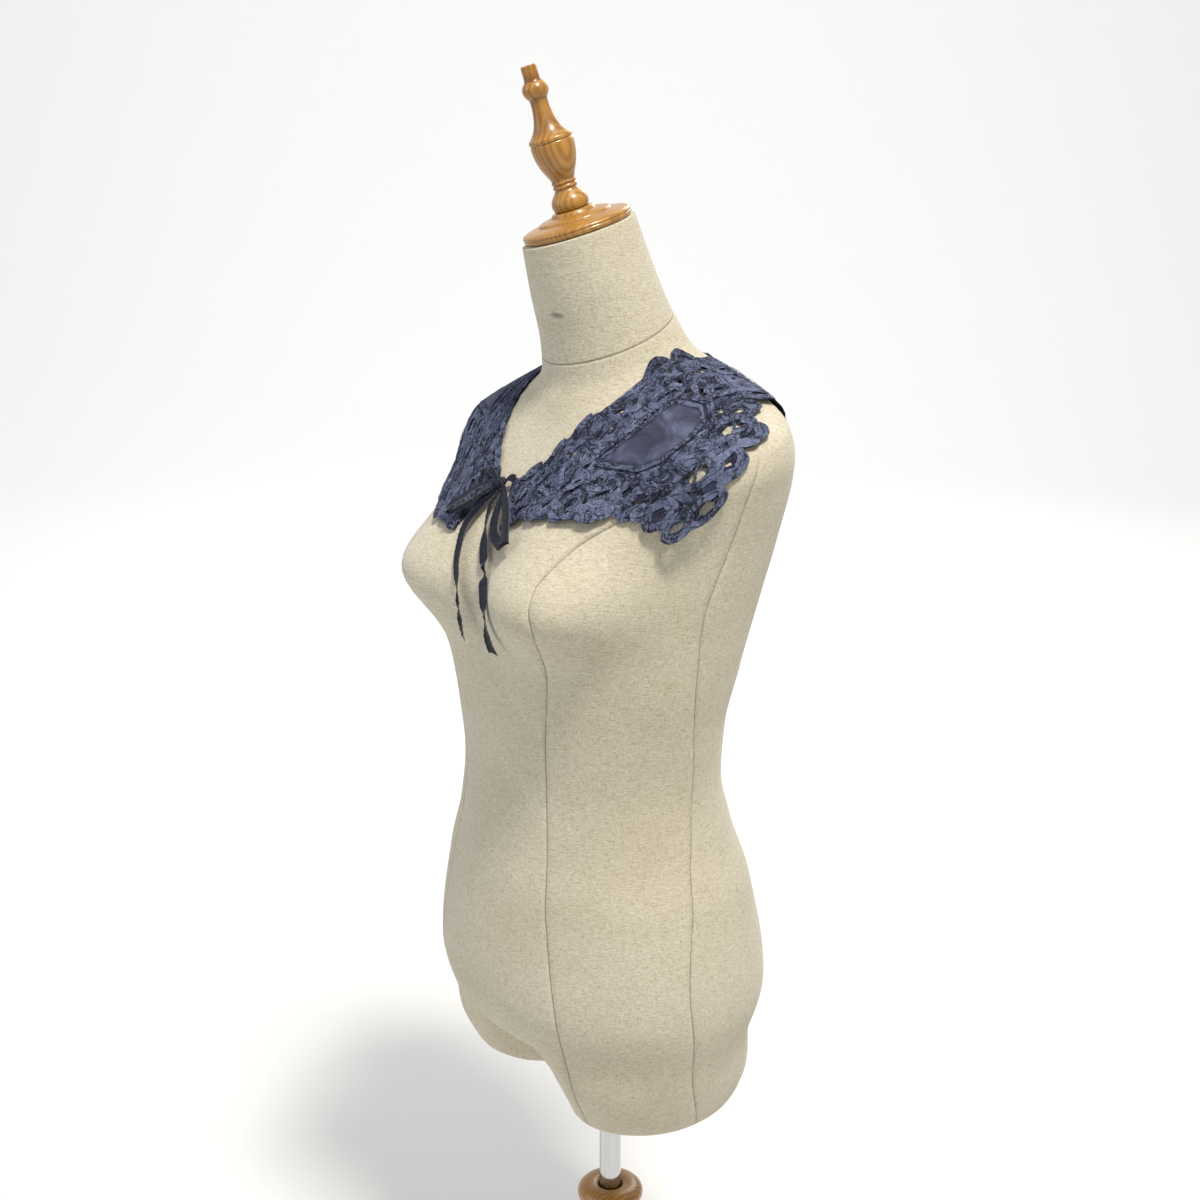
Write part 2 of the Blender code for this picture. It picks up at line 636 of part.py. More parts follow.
def openings(cut):
    """Openings over 4 mm, largest of each repeat: in the leaves, then in the scallops."""
    found = []
    for angle, share, _, _, turn, long, broad in LEAVES:
        if long:
            centre = flat_place(angle, share * width_at(cut, angle))
            found.append(oval(centre, centre.normalized(), long, broad, turn, OPENING_SIDES))
    for k, centre in enumerate(lobe_centres(cut)):
        long, broad = OPEN_LOBE["opening"] if k == OPEN_LOBE["number"] else LOBE_OPENINGS[k % len(LOBE_OPENINGS)]
        found.append(oval(centre, centre.normalized(), long, broad, 90, OPENING_SIDES))
    return found


def lobe_centres(cut):
    middles = along_edge(cut, [(a + b) / 2 for a, b in zip(LOBE_ENDS, LOBE_ENDS[1:])])
    return [place + out * (LOBE_DEPTH - LOBE_RING["in"]) for place, out in middles]


def insert_outline(grow=0.0):
    """The insert's edge in the flat cut, with its long sides divided."""
    corners = [flat_place(a, d) for a, d in INSERT]
    middle = sum(corners, Vector((0, 0))) / len(corners)
    corners = [p + (p - middle).normalized() * grow for p in corners]
    edge = []
    for a, b in zip(corners, corners[1:] + corners[:1]):
        count = max(1, round((b - a).length / INSERT_STEP))
        edge += [a.lerp(b, k / count) for k in range(count)]
    return edge


# Tapes: paths of the braid that the lace is worked in, in the flat cut


def tape_paths(cut):
    """Every tape as (points, closed): the neck band and its zigzag, two rows round the insert, leaves, rings."""
    paths = []
    span = np.arange(front_edge(0) + 3, 179.5, 3.0)
    paths.append(([flat_place(a, 4.0) for a in span], False))
    zigzag = []
    for k, a in enumerate(np.arange(front_edge(0) + 6, 178.5, 2.1)):
        share = 0.5 + 0.5 * math.sin(k * math.pi / 2.5)
        zigzag.append(flat_place(a, 9 + 9 * share))
    paths.append((zigzag, False))
    wave = [flat_place(a, 30 + 5 * math.sin(k * 1.25)) for k, a in enumerate(np.arange(114, 178.5, 3.0))]
    paths.append((wave, False))
    paths.append((insert_outline(4.0), True))
    paths.append((insert_outline(12.0), True))
    for angle, share, long, broad, turn, _, _ in LEAVES:
        centre = flat_place(angle, share * width_at(cut, angle))
        paths.append((oval(centre, centre.normalized(), long, broad, turn, LEAF_SIDES), True))
    for centre in lobe_centres(cut):
        ring = oval(centre, centre.normalized(), LOBE_RING["long"], LOBE_RING["broad"], 90, LEAF_SIDES)
        paths.append((ring, True))
    return paths


TAPE = 8.0               # millimetres wide
SLIVER = 0.01            # square millimetres, smaller triangles are dropped along straight edges


def inside(point, loop):
    crossing = False
    x, y = point[0], point[1]
    for a, b in zip(loop, loop[1:] + loop[:1]):
        if (a[1] > y) != (b[1] > y) and x < a[0] + (y - a[1]) / (b[1] - a[1]) * (b[0] - a[0]):
            crossing = not crossing
    return crossing


def triangle_area(a, b, c):
    return abs((b - a).cross(c - a)) / 2


def nearest_on(point, segments):
    """Distance from a point to the nearest of many segments, given as arrays of starts and ends."""
    starts, ends = segments
    run = ends - starts
    t = np.clip(((point - starts) * run).sum(1) / np.maximum((run**2).sum(1), 1e-9), 0, 1)
    return float(np.sqrt((((starts + run * t[:, None]) - point) ** 2).sum(1)).min())


def segments_of(paths):
    starts, ends = [], []
    for points, closed in paths:
        loop = points + points[:1] if closed else points
        for a, b in zip(loop[:-1], loop[1:]):
            starts.append(a)
            ends.append(b)
    return np.array(starts, float), np.array(ends, float)


def sown(loops, seeds, spacing, borders):
    """Seeds that keep their distance from each other and from every border."""
    kept = []
    for seed in seeds:
        place = np.array(seed, float)
        if not inside(place, loops[0]) or any(inside(place, hole) for hole in loops[1:]):
            continue
        if nearest_on(place, borders) < 0.55 * spacing:
            continue
        if kept and np.hypot(*(np.array(kept) - place).T).min() < spacing:
            continue
        kept.append(place)
    return kept


def panel_mesh(name, loops, seeds, spacing, drape, rise_at):
    """A flat panel with holes, laid on the drape as an open surface; each point carries its rise as a
    weight for Solidify, so that the inside stays plain and the outside is raised."""
    borders = segments_of([(loop, True) for loop in loops])
    points, edges = [], []
    for loop in loops:
        first = len(points)
        points += [Vector(p[:2]) for p in loop]
        edges += [(first + k, first + (k + 1) % len(loop)) for k in range(len(loop))]
    points += [Vector(p) for p in sown(loops, seeds, spacing, borders)]
    spots, _, triangles, _, _, _ = delaunay_2d_cdt(points, edges, [], 0, 1e-5)
    kept = []
    for tri in triangles:
        if triangle_area(*(spots[i] for i in tri)) < SLIVER:
            continue
        centre = sum((spots[i] for i in tri), Vector((0, 0))) / 3
        if inside(centre, loops[0]) and not any(inside(centre, hole) for hole in loops[1:]):
            kept.append(tuple(reversed(tri)) if drape.side > 0 else tuple(tri))
    used = sorted({i for tri in kept for i in tri})
    renumber = {old: new for new, old in enumerate(used)}
    kept = [tuple(renumber[i] for i in tri) for tri in kept]
    spots = [spots[i] for i in used]
    worn = [drape.at(*worn_place(p)) for p in spots]
    mesh = mesh_of(name, worn, kept)
    weights = [rise_at(p) for p in spots]
    return mesh, weights


def solid_panel(name, mesh, weights, material, collection):
    panel = new_object(name, mesh, material, collection)
    group = panel.vertex_groups.new(name="rise")
    for k, weight in enumerate(weights):
        group.add([k], weight, "REPLACE")
    wall = panel.modifiers.new("wall", "SOLIDIFY")
    wall.thickness = CLOTH + TAPE_RISE
    wall.offset = 1
    wall.vertex_group = "rise"
    wall.thickness_vertex_group = 0
    return panel


def lattice(spacing):
    """Seed places all over the flat cut, in staggered rows."""
    seeds = []
    rows = int(170 / (spacing * 0.87))
    for k in range(rows):
        down = -8 + k * spacing * 0.87
        arc = math.radians(FLAT_SWEEP) * (FLAT_NECK_R + down)
        count = max(2, int(arc / spacing))
        for i in range(count):
            angle = 180 * (i + (0.5 if k % 2 else 0.0)) / count
            seeds.append(flat_place(angle, down))
    return seeds


def make_half(side_name, cut, drape, navy, lawn, collection):
    outline = outer_edge(cut, 6)
    outline += [flat_place(a, d) for a, d in back_edge(cut)]
    outline += [flat_place(a, d) for a, d in neck_edge(2.6)]
    outline += [flat_place(a, d) for a, d in front_points(cut)]
    window = insert_outline()
    loops = [outline] + openings(cut) + [window]
    tapes = tape_paths(cut)
    along_tapes = segments_of(tapes)

    def rise_at(place):
        off = nearest_on(np.array(place, float), along_tapes)
        crown = max(0.0, 1 - (off / (0.62 * TAPE)) ** 2)
        return (CLOTH + TAPE_RISE * crown) / (CLOTH + TAPE_RISE)

    seeds = [p for points, _ in tapes for p in points] + lattice(8.2)
    mesh, weights = panel_mesh("lace_" + side_name, loops, seeds, 5.6, drape, rise_at)
    solid_panel("lace_" + side_name, mesh, weights, navy, collection)
    patch = insert_outline(-INSERT_GAP)
    mesh, weights = panel_mesh(
        "insert_" + side_name, [patch], lattice(9.0), 7.0, drape, lambda place: CLOTH / (CLOTH + TAPE_RISE)
    )
    solid_panel("insert_" + side_name, mesh, weights, lawn, collection)


def back_edge(cut):
    """Down the centre-back seam, stopping short of the other half."""
    rows = []
    for share in np.linspace(0.93, 0.07, 13):
        rows.append((BACK_SEAM, share * (width_at(cut, 180) - LOBE_DEPTH)))
    return rows


def front_points(cut):
    return [(front_edge(share), share * (width_at(cut, 15) - LOBE_DEPTH)) for share in (0.15, 0.32, 0.5, 0.68, 0.85)]


# The ribbon tie


def smooth_route(rows, pace):
    """Rows of a route eased by a cubic through them, one every pace millimetres; all columns follow."""
    rows = np.array(rows, float)
    lengths = np.concatenate([[0], np.cumsum(np.sqrt((np.diff(rows[:, :3], axis=0) ** 2).sum(1)))])
    slopes = np.gradient(rows, lengths, axis=0)
    eased = []
    for reach in np.linspace(0, lengths[-1], max(2, int(round(lengths[-1] / pace)) + 1)):
        i = int(np.clip(np.searchsorted(lengths, reach) - 1, 0, len(rows) - 2))
        step = lengths[i + 1] - lengths[i]
        t = (reach - lengths[i]) / step
        row = (2 * t**3 - 3 * t**2 + 1) * rows[i] + (t**3 - 2 * t**2 + t) * step * slopes[i]
        row += (3 * t**2 - 2 * t**3) * rows[i + 1] + (t**3 - t**2) * step * slopes[i + 1]
        eased.append(row)
    return np.array(eased)


def seated(row):
    """A route's end, moved to just off the knot's surface in its own direction."""
    way = Vector(row[:3]).normalized()
    local = Matrix.Rotation(math.radians(-KNOT_LEAN), 3, "X") @ way
    reach = 1 / math.sqrt(sum((c / (size / 2)) ** 2 for c, size in zip(local, KNOT_SIZE)))
    return (*(way * (reach + KNOT_GAP)), row[3])


def make_ribbon(name, route, across, satin, collection):
    """A flat strip along a route of (x, y, z, width) from the knot; across says which way its width lies
    at the start and at the end. A loop comes back to the knot."""
    route = [seated(route[0])] + route[1:]
    if name in LOOPS:
        route[-1] = seated(route[-1])
    rows = smooth_route(route, RIBBON_PACE)
    places = [KNOT + Vector(row[:3]) for row in rows]
    points, faces = [], []
    for k, place in enumerate(places):
        ahead, behind = places[min(k + 1, len(places) - 1)], places[max(k - 1, 0)]
        run = (ahead - behind).normalized()
        share = k / (len(places) - 1)
        wide = Vector(across[0]) * (1 - share) + Vector(across[1]) * share
        wide = (wide - run * wide.dot(run)).normalized()
        half = wide * (rows[k][3] / 2)
        points += [(place - half) * MM, (place + half) * MM]
        if k:
            faces.append((2 * k - 2, 2 * k - 1, 2 * k + 1, 2 * k))
    ribbon = new_object(name, mesh_of(name, points, faces), satin, collection)
    wall = ribbon.modifiers.new("thickness", "SOLIDIFY")
    wall.thickness = RIBBON_THICK
    wall.offset = 0


def make_tie(satin, collection):
    mesh = bpy.data.meshes.new("tie_knot")
    form = bmesh.new()
    bmesh.ops.create_uvsphere(form, u_segments=12, v_segments=8, radius=1)
    bmesh.ops.scale(form, vec=Vector(KNOT_SIZE) / 2 * MM, verts=form.verts)
    form.to_mesh(mesh)
    form.free()
    knot = new_object("tie_knot", mesh, satin, collection)
    knot.location = KNOT * MM
    knot.rotation_euler = (math.radians(KNOT_LEAN), 0, 0)
    for name, across, route in RIBBONS:
        make_ribbon(name, route, across, satin, collection)


def main():
    for old in list(bpy.data.objects):
        bpy.data.objects.remove(old)
    parts = bpy.data.collections.new("false collar on a dress form")
    cutters = bpy.data.collections.new("cutters")
    for made in (parts, cutters):
        bpy.context.scene.collection.children.link(made)
    linen = new_material("linen cover", (0.60, 0.54, 0.43), 0.9)
    wood = new_material("varnished wood", (0.55, 0.30, 0.10), 0.35)
    chrome = new_material("chrome tube", (0.8, 0.8, 0.82), 0.12, 1.0)
    navy = new_material("navy tape lace", (0.045, 0.055, 0.115), 0.9)
    lawn = new_material("navy lawn", (0.06, 0.07, 0.13), 0.8)
    satin = new_material("navy satin ribbon", (0.02, 0.02, 0.045), 0.4)
    form = make_form(linen, parts, cutters)
    make_cap_and_finial(wood, parts)
    make_stand(wood, chrome, parts)
    tree = form_tree(form)
    for name, side, cut, ridges in (("left", 1, CUT_LEFT, RIDGES_LEFT), ("right", -1, CUT_RIGHT, RIDGES_RIGHT)):
        make_half(name, cut, Drape(tree, side, cut, ridges), navy, lawn, parts)
    make_tie(satin, parts)


def form_tree(form):
    """Search tree of the form's bare surface."""
    mesh = form.data
    return BVHTree.FromPolygons([v.co.copy() for v in mesh.vertices], [tuple(p.vertices) for p in mesh.polygons])


main()
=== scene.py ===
import bpy
import bmesh
import math
import random
import numpy as np
from mathutils import Matrix, Vector, noise
from mathutils.bvhtree import BVHTree
from mathutils.geometry import delaunay_2d_cdt


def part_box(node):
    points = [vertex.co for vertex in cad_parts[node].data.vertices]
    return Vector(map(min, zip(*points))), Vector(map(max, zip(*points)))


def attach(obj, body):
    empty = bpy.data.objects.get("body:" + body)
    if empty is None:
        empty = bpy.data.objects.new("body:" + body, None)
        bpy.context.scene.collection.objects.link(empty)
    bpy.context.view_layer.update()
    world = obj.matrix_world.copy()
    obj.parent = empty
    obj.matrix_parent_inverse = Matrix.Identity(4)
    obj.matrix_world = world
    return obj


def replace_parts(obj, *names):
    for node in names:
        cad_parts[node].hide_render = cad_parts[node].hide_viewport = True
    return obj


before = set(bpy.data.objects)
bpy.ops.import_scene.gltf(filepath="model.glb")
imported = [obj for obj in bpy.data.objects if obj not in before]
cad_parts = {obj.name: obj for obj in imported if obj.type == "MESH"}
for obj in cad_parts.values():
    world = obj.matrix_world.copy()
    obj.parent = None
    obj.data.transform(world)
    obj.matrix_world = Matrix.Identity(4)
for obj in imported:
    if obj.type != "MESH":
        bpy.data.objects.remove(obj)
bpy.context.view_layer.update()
mm = 0.001
waist = 0.615                                  # height of the form's waist over the floor


# helpers for meshes and materials

def linear(shade):
    # an sRGB hex value as linear light
    tone = [int(shade[k:k + 2], 16) / 255 for k in (1, 3, 5)]
    return [c / 12.92 if c <= 0.04045 else ((c + 0.055) / 1.055) ** 2.4 for c in tone] + [1.0]


def perMm(sizes):
    # a Mapping node's scale for a pattern of this size in mm, the same all ways or along x, y and z
    return [1 / (size * mm) for size in (sizes if isinstance(sizes, tuple) else (sizes,) * 3)]


def addNode(tree, kind, links=None, stops=(), out=0, **settings):
    # one node with its settings and links; stops are a colour ramp's: place, then hex colour or plain number
    node = tree.nodes.new("ShaderNode" + kind)
    for key, value in settings.items():
        setattr(node, key, value)
    for key, value in (links or {}).items():
        if isinstance(value, bpy.types.NodeSocket):
            tree.links.new(value, node.inputs[key])
        else:
            node.inputs[key].default_value = value
    for _ in stops[2:]:
        node.color_ramp.elements.new(0.5)
    for k, (place, tone) in enumerate(stops):
        node.color_ramp.elements[k].position = place
        node.color_ramp.elements[k].color = linear(tone) if isinstance(tone, str) else (tone, tone, tone, 1)
    return node.outputs[out]


def newMaterial(name, look):
    # the fixed sockets and the noise patterns of a look; a pattern is its size in mm, detail, roughness, distortion
    material = bpy.data.materials.new(name)
    material.use_nodes = True
    tree = material.node_tree
    shader = tree.nodes["Principled BSDF"]
    for key, value in look["shader"].items():
        shader.inputs[key].default_value = value
    patterns = {}
    for key, (sizes, detail, rough, warp) in look["patterns"].items():
        if "on" in look:
            place = addNode(tree, "Attribute", out="Vector", attribute_name=look["on"])
        else:
            place = addNode(tree, "TexCoord", out="Object")
        sized = addNode(tree, "Mapping", {"Vector": place, "Scale": perMm(sizes)})
        patterns[key] = addNode(tree, "TexNoise", {
            "Vector": sized, "Scale": 1.0, "Detail": detail, "Roughness": rough, "Distortion": warp})
    return material, tree, shader, patterns


def glazed(tree, base, look, patterns):
    # thin dyes over a colour: each pattern darkens it by its own amount
    for key, amount, stops in look["glazes"]:
        tint = addNode(tree, "ValToRGB", {"Fac": patterns[key]}, stops)
        base = addNode(tree, "Mix", {0: amount, 6: base, 7: tint}, out=2, data_type="RGBA", blend_type="MULTIPLY")
    return base


def finished(tree, shader, base, relief):
    # colour to the shader, then relief in layers: height, depth in mm, strength
    tree.links.new(base, shader.inputs["Base Color"])
    under = {}
    for height, deep, strength in relief:
        layer = addNode(tree, "Bump", {"Height": height, "Distance": deep * mm, "Strength": strength, **under})
        under = {"Normal": layer}
    tree.links.new(under["Normal"], shader.inputs["Normal"])


def settled(name, mesh, material, body, sharp=None):
    # a finished mesh as an object, shaded smooth, on the body that it rides on
    mesh.materials.clear()
    mesh.materials.append(material)
    mesh.shade_smooth()
    if sharp:
        mesh.set_sharp_from_angle(angle=math.radians(sharp))
    piece = bpy.data.objects.new(name, mesh)
    bpy.context.scene.collection.objects.link(piece)
    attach(piece, body)
    return piece


def newPiece(name, points, faces, material, body, marks=None):
    mesh = bpy.data.meshes.new(name)
    mesh.from_pydata([tuple(p) for p in points], [], faces)
    mesh.validate()
    for key, values in (marks or {}).items():
        layer = mesh.attributes.new(key, "FLOAT", "POINT")
        layer.data.foreach_set("value", np.asarray(values, dtype=np.float32))
    return settled(name, mesh, material, body)


def smoothTable(table, x, n):
    # column n of a table at x, smooth and without passing the rows beside it
    rows = np.array(table, float)
    xs, ys = rows[:, 0], rows[:, n]
    steps = np.diff(xs)
    slopes = np.diff(ys) / steps
    tangents = np.empty(len(xs))
    tangents[0], tangents[-1] = slopes[0], slopes[-1]
    for i in range(1, len(xs) - 1):
        before, after = slopes[i - 1], slopes[i]
        tangents[i] = 0 if before * after <= 0 else 2 * before * after / (before + after)
    i = int(np.clip(np.searchsorted(xs, x) - 1, 0, len(xs) - 2))
    t = (x - xs[i]) / steps[i]
    low = (2 * t ** 3 - 3 * t ** 2 + 1) * ys[i] + (t ** 3 - 2 * t ** 2 + t) * steps[i] * tangents[i]
    high = (-2 * t ** 3 + 3 * t ** 2) * ys[i + 1] + (t ** 3 - t ** 2) * steps[i] * tangents[i + 1]
    return float(low + high)


# camera, set first: the ribbons are measured against its view

view = {
    "turn": 55.0, "distance": 1.46, "aside": -0.0096, "height": waist + 0.569, "pitch": 16.4,
    "sensor": 36.0, "focal": 1796 / 1200, "farthest": 50,      # focal length in widths of the picture
}

turn = math.radians(view["turn"])
camera = bpy.data.objects.new("camera", bpy.data.cameras.new("camera"))
bpy.context.scene.collection.objects.link(camera)
camera.data.sensor_width = camera.data.sensor_height = view["sensor"]
camera.data.lens = view["sensor"] * view["focal"]
camera.data.clip_end = view["farthest"]
camera.location = (
    view["distance"] * math.sin(turn) + view["aside"] * math.cos(turn),
    -view["distance"] * math.cos(turn) + view["aside"] * math.sin(turn),
    view["height"])
camera.rotation_euler = (math.radians(90 - view["pitch"]), 0, turn)
bpy.context.scene.camera = camera
bpy.context.scene.view_settings.view_transform = "Standard"
print("camera set")


# navy satin ribbon: rayon, woven with long weft floats. It gleams softly across its width, has darker crush marks
# and two paler, duller selvedges. The IOR is lower than rayon's 1.53, to match the photo's gleam.

ribbon = {
    "wide": 9.0, "pace": 1.4, "cup": 0.45, "thick": 0.32, "selvedge": 0.22, "ruck": 0.18, "ruckPitch": 1.9,
    "ruckAcross": 4, "slant": 3.0,
}
satinLook = {
    "shader": {"Roughness": 0.42, "IOR": 1.45, "Specular IOR Level": 0.3}, "patterns": {},
    "crush": (4.1, 2.05), "floats": (0.107, 1.25),             # mm along and across; the floats are too fine to show
    "tone": [(0.3, "#090a13"), (0.7, "#1b1d2e")], "selvedge": "#4e5060", "selvedgeFrom": [(0.86, 0), (0.95, 1)],
}


def satinRibbon():
    material, tree, shader, _ = newMaterial("navy satin", satinLook)
    wide = ribbon["wide"]
    across = addNode(tree, "Attribute", out="Fac", attribute_name="across")
    along = addNode(tree, "Attribute", out="Fac", attribute_name="along")
    place = addNode(tree, "CombineXYZ", {0: along, 1: across})
    noises = []
    for (long, broad), detail in ((satinLook["crush"], 4.0), (satinLook["floats"], 3.0)):
        sized = addNode(tree, "Mapping", {"Vector": place, "Scale": (wide / long, wide / 2 / broad, 1)})
        noises.append(addNode(tree, "TexNoise", {"Vector": sized, "Scale": 1.0, "Detail": detail}))
    crush, floats = noises
    tone = addNode(tree, "ValToRGB", {"Fac": crush}, satinLook["tone"])
    fromMiddle = addNode(tree, "Math", {0: across}, operation="ABSOLUTE")
    edge = addNode(tree, "ValToRGB", {"Fac": fromMiddle}, satinLook["selvedgeFrom"])
    base = addNode(tree, "Mix", {0: edge, 6: tone, 7: linear(satinLook["selvedge"])}, out=2, data_type="RGBA")
    finished(tree, shader, base, [(floats, 0.1, 0.5), (crush, 0.6, 0.5)])
    return material


satin = satinRibbon()

knot = {
    "place": Vector((-13.5, -99.5, 866.5)), "size": (10, 8, 10), "lean": -37, "gap": 0.4,
    # as shares of the radius: its size, two sets of folds, and how it is drawn in beside its middle
    "full": 0.93, "folds": (0.10, 0.05), "drawnIn": (0.22, 0.62, 0.16),
}
# each strand: how its width lies at shares of its length, then its route from the knot: x, y, z, width in mm
strands = {
    "tie_stub_right": ([(0, (0, 0.6, 0.8)), (1, (0, 0.6, 0.8))], [
        (-6, 0.6, 1, 2.6), (-13, 1.3, 4, 5), (-22, 2.8, 6.8, 7), (-30.5, 4.8, 4.9, 7)]),
    "tie_stub_left": ([(0, (0, 0.6, 0.8)), (1, (0, 0.6, 0.8))], [
        (6, 1.3, 1.8, 3.4), (9.2, 3.6, 5, 6.6), (12.3, 5.2, 4.6, 7.4)]),
    "tie_loop_right": ([(0, (0.8, -0.5, -0.3)), (1, (0.8, -0.5, -0.3))], [
        (-5.6, -3, 0.6, 3), (-9, -6.5, -1, 6), (-18.5, -12.5, -6, 8), (-25.5, -18, -12.5, 9),
        (-32, -24, -18.5, 9), (-36, -29, -23.5, 9), (-37, -30, -25.5, 9), (-35.5, -28.5, -27, 9),
        (-31.5, -25, -25, 9), (-25.5, -18.5, -20, 9), (-18.5, -13, -14.5, 8), (-11, -7.5, -7.5, 5),
        (-5.4, -3.2, -3.2, 3)]),
    "tie_tail_right": ([(0, (0.82, -0.3, -0.46)), (0.35, (0.85, -0.2, -0.3)), (0.62, (0.9, -0.05, 0)),
                        (0.78, (0.6, -0.75, 0)), (0.88, (0.95, 0.1, 0)), (1, (0.9, -0.3, 0))], [
        (-3, -1.4, -5.4, 2.4), (-5.5, -4.5, -10, 4), (-10.5, -11, -17, 7), (-14.5, -16, -24, 9),
        (-16.5, -22.5, -32, 9), (-15.5, -28, -40.5, 9), (-12, -33, -49, 9), (-7.5, -38.5, -60, 9),
        (-1.5, -42.5, -75.5, 9), (2.5, -44.5, -90.5, 8), (7.5, -45.5, -106.5, 6.5), (10.5, -44.5, -121, 5.5)]),
    "tie_tail_left": ([(0, (1, 0, 0)), (0.22, (0.8, -0.5, 0)), (0.34, (1, 0.05, 0)), (0.45, (0.98, 0.1, 0)),
                       (0.52, (0.55, -0.8, 0)), (0.60, (1, 0.2, 0)), (0.72, (0.98, 0.2, 0)), (0.80, (0.7, -0.6, 0)),
                       (0.9, (0.98, 0.05, 0)), (1, (0.97, 0.25, 0))], [
        (0.6, -1.5, -5.7, 2.4), (0.4, -4.5, -10, 4), (-1.5, -8.5, -16, 7), (-1, -12.5, -25, 9), (8, -21.5, -40, 9),
        (25.3, -33, -57.5, 9), (41, -43.4, -74.5, 9), (51, -48.8, -93, 9), (57, -49, -112, 9), (60, -47, -120, 9)]),
    "tie_loop_left": ([(0, (0.9, 0.3, 0.3)), (1, (0.2, 0.5, 0.85))], [
        (3.8, -1, -4.5, 2.4), (7, -4, -9, 4.5), (9.8, -9.6, -18, 8), (13.5, -15.2, -27, 9), (20.5, -20.2, -36, 9),
        (36, -25.8, -38.5, 9), (49, -30, -38.5, 9), (53, -31, -35, 9), (47, -26.5, -28.5, 9), (34, -17.5, -17, 9),
        (17, -8, -7, 8), (9, -3.5, -2, 5), (5.6, -2.5, -1, 3)]),
}


def seatedEnd(row):
    # the end of a route, moved out to just over the knot
    way = Vector(row[:3]).normalized()
    local = Matrix.Rotation(math.radians(-knot["lean"]), 3, "X") @ way
    reach = 1 / math.sqrt(sum((c / (size / 2)) ** 2 for c, size in zip(local, knot["size"])))
    return (*(way * (reach + knot["gap"])), row[3])


def easedRoute(rows, pace):
    # a smooth line through the rows, with a point every so many mm
    rows = np.array(rows, float)
    lengths = np.concatenate([[0], np.cumsum(np.sqrt((np.diff(rows[:, :3], axis=0) ** 2).sum(1)))])
    slopes = np.gradient(rows, lengths, axis=0)
    eased = []
    for reach in np.linspace(0, lengths[-1], int(round(lengths[-1] / pace)) + 1):
        i = int(np.clip(np.searchsorted(lengths, reach) - 1, 0, len(rows) - 2))
        step = lengths[i + 1] - lengths[i]
        t = (reach - lengths[i]) / step
        row = (2 * t ** 3 - 3 * t ** 2 + 1) * rows[i] + (t ** 3 - 2 * t ** 2 + t) * step * slopes[i]
        eased.append(row + (3 * t ** 2 - 2 * t ** 3) * rows[i + 1] + (t ** 3 - t ** 2) * step * slopes[i + 1])
    return np.array(eased)


def ribbonPiece(name):
    lies, rows = strands[name]
    route = [seatedEnd(rows[0])] + rows[1:]
    if "loop" in name:
        route[-1] = seatedEnd(route[-1])
    rows = easedRoute(route, ribbon["pace"])
    places = [(knot["place"] + Vector(row[:3])) for row in rows]
    shares = np.array([s for s, _ in lies])
    wides = np.array([v for _, v in lies], float)
    seed = random.Random(name)
    phase = seed.random() * 6
    # across the ribbon: share of half width, height over the middle in mm
    section = [(-1, 0.0), (-0.93, ribbon["selvedge"]), (-0.82, 0.0), (-0.4, 0), (0, 0), (0.4, 0), (0.82, 0),
               (0.93, ribbon["selvedge"]), (1, 0.0), (0.6, -ribbon["thick"]), (-0.6, -ribbon["thick"])]
    points, faces, along, across = [], [], [], []
    n = len(section)
    last = len(places) - 1
    for k, place in enumerate(places):
        run = (places[min(k + 1, last)] - places[max(k - 1, 0)]).normalized()
        wide = Vector([float(np.interp(k / last, shares, wides[:, c])) for c in range(3)])
        wide = (wide - run * wide.dot(run)).normalized()
        up = run.cross(wide).normalized()
        half = rows[k][3] / 2
        gather = max(0.0, 1 - rows[k][3] / ribbon["wide"])
        for s, h in section:
            cup = ribbon["cup"] * (s * s - 0.4)
            waves = math.sin(k * ribbon["ruckPitch"] + s * ribbon["ruckAcross"] + phase)
            ruck = ribbon["ruck"] * waves * (1 + 2 * gather)
            slip = ribbon["slant"] * s * half / (ribbon["wide"] / 2) if k == last and "tail" in name else 0.0
            points.append((place + wide * (s * half) + up * (h + cup + ruck) + run * slip) * mm)
            along.append(k * ribbon["pace"] / ribbon["wide"])
            across.append(s)
        if k:
            for i in range(n):
                j = (i + 1) % n
                a = (k - 1) * n
                faces.append((a + i, a + j, a + n + j, a + n + i))
    faces.append(tuple(range(n)))
    faces.append(tuple(last * n + i for i in reversed(range(n))))
    piece = newPiece(name.replace("tie_", "ribbon_"), points, faces, satin, "form",
                     {"along": along, "across": across})
    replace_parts(piece, name)
    middle = [p * mm for p in places]
    length = sum((b - a).length for a, b in zip(middle, middle[1:]))
    return length


def knotPiece():
    # a ball with two sets of folds, drawn in on both sides of its middle
    broad, fine = knot["folds"]
    deep, spot, spread = knot["drawnIn"]
    bm = bmesh.new()
    bmesh.ops.create_uvsphere(bm, u_segments=48, v_segments=32, radius=1)
    lean = Matrix.Rotation(math.radians(knot["lean"]), 3, "X")
    for v in bm.verts:
        d = v.co.copy()
        turnBy = math.atan2(d.x, -d.y)
        fold = broad * math.sin(6 * d.z + 3 * turnBy) + fine * math.sin(13 * d.x + 7 * d.z)
        squeeze = 1 - deep * math.exp(-((abs(d.x) - spot) / spread) ** 2)
        r = (knot["full"] + fold) * squeeze
        local = Vector([c * s / 2 * r for c, s in zip(d, knot["size"])])
        v.co = (lean @ local + knot["place"]) * mm
    mesh = bpy.data.meshes.new("ribbon_knot")
    bm.to_mesh(mesh)
    bm.free()
    for key in ("along", "across"):
        layer = mesh.attributes.new(key, "FLOAT", "POINT")
        values = [v.co.z * 160 if key == "along" else math.sin(v.co.x * 1100) * 0.9 for v in mesh.vertices]
        layer.data.foreach_set("value", np.array(values, dtype=np.float32))
    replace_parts(settled("ribbon_knot", mesh, satin, "form"), "tie_knot")


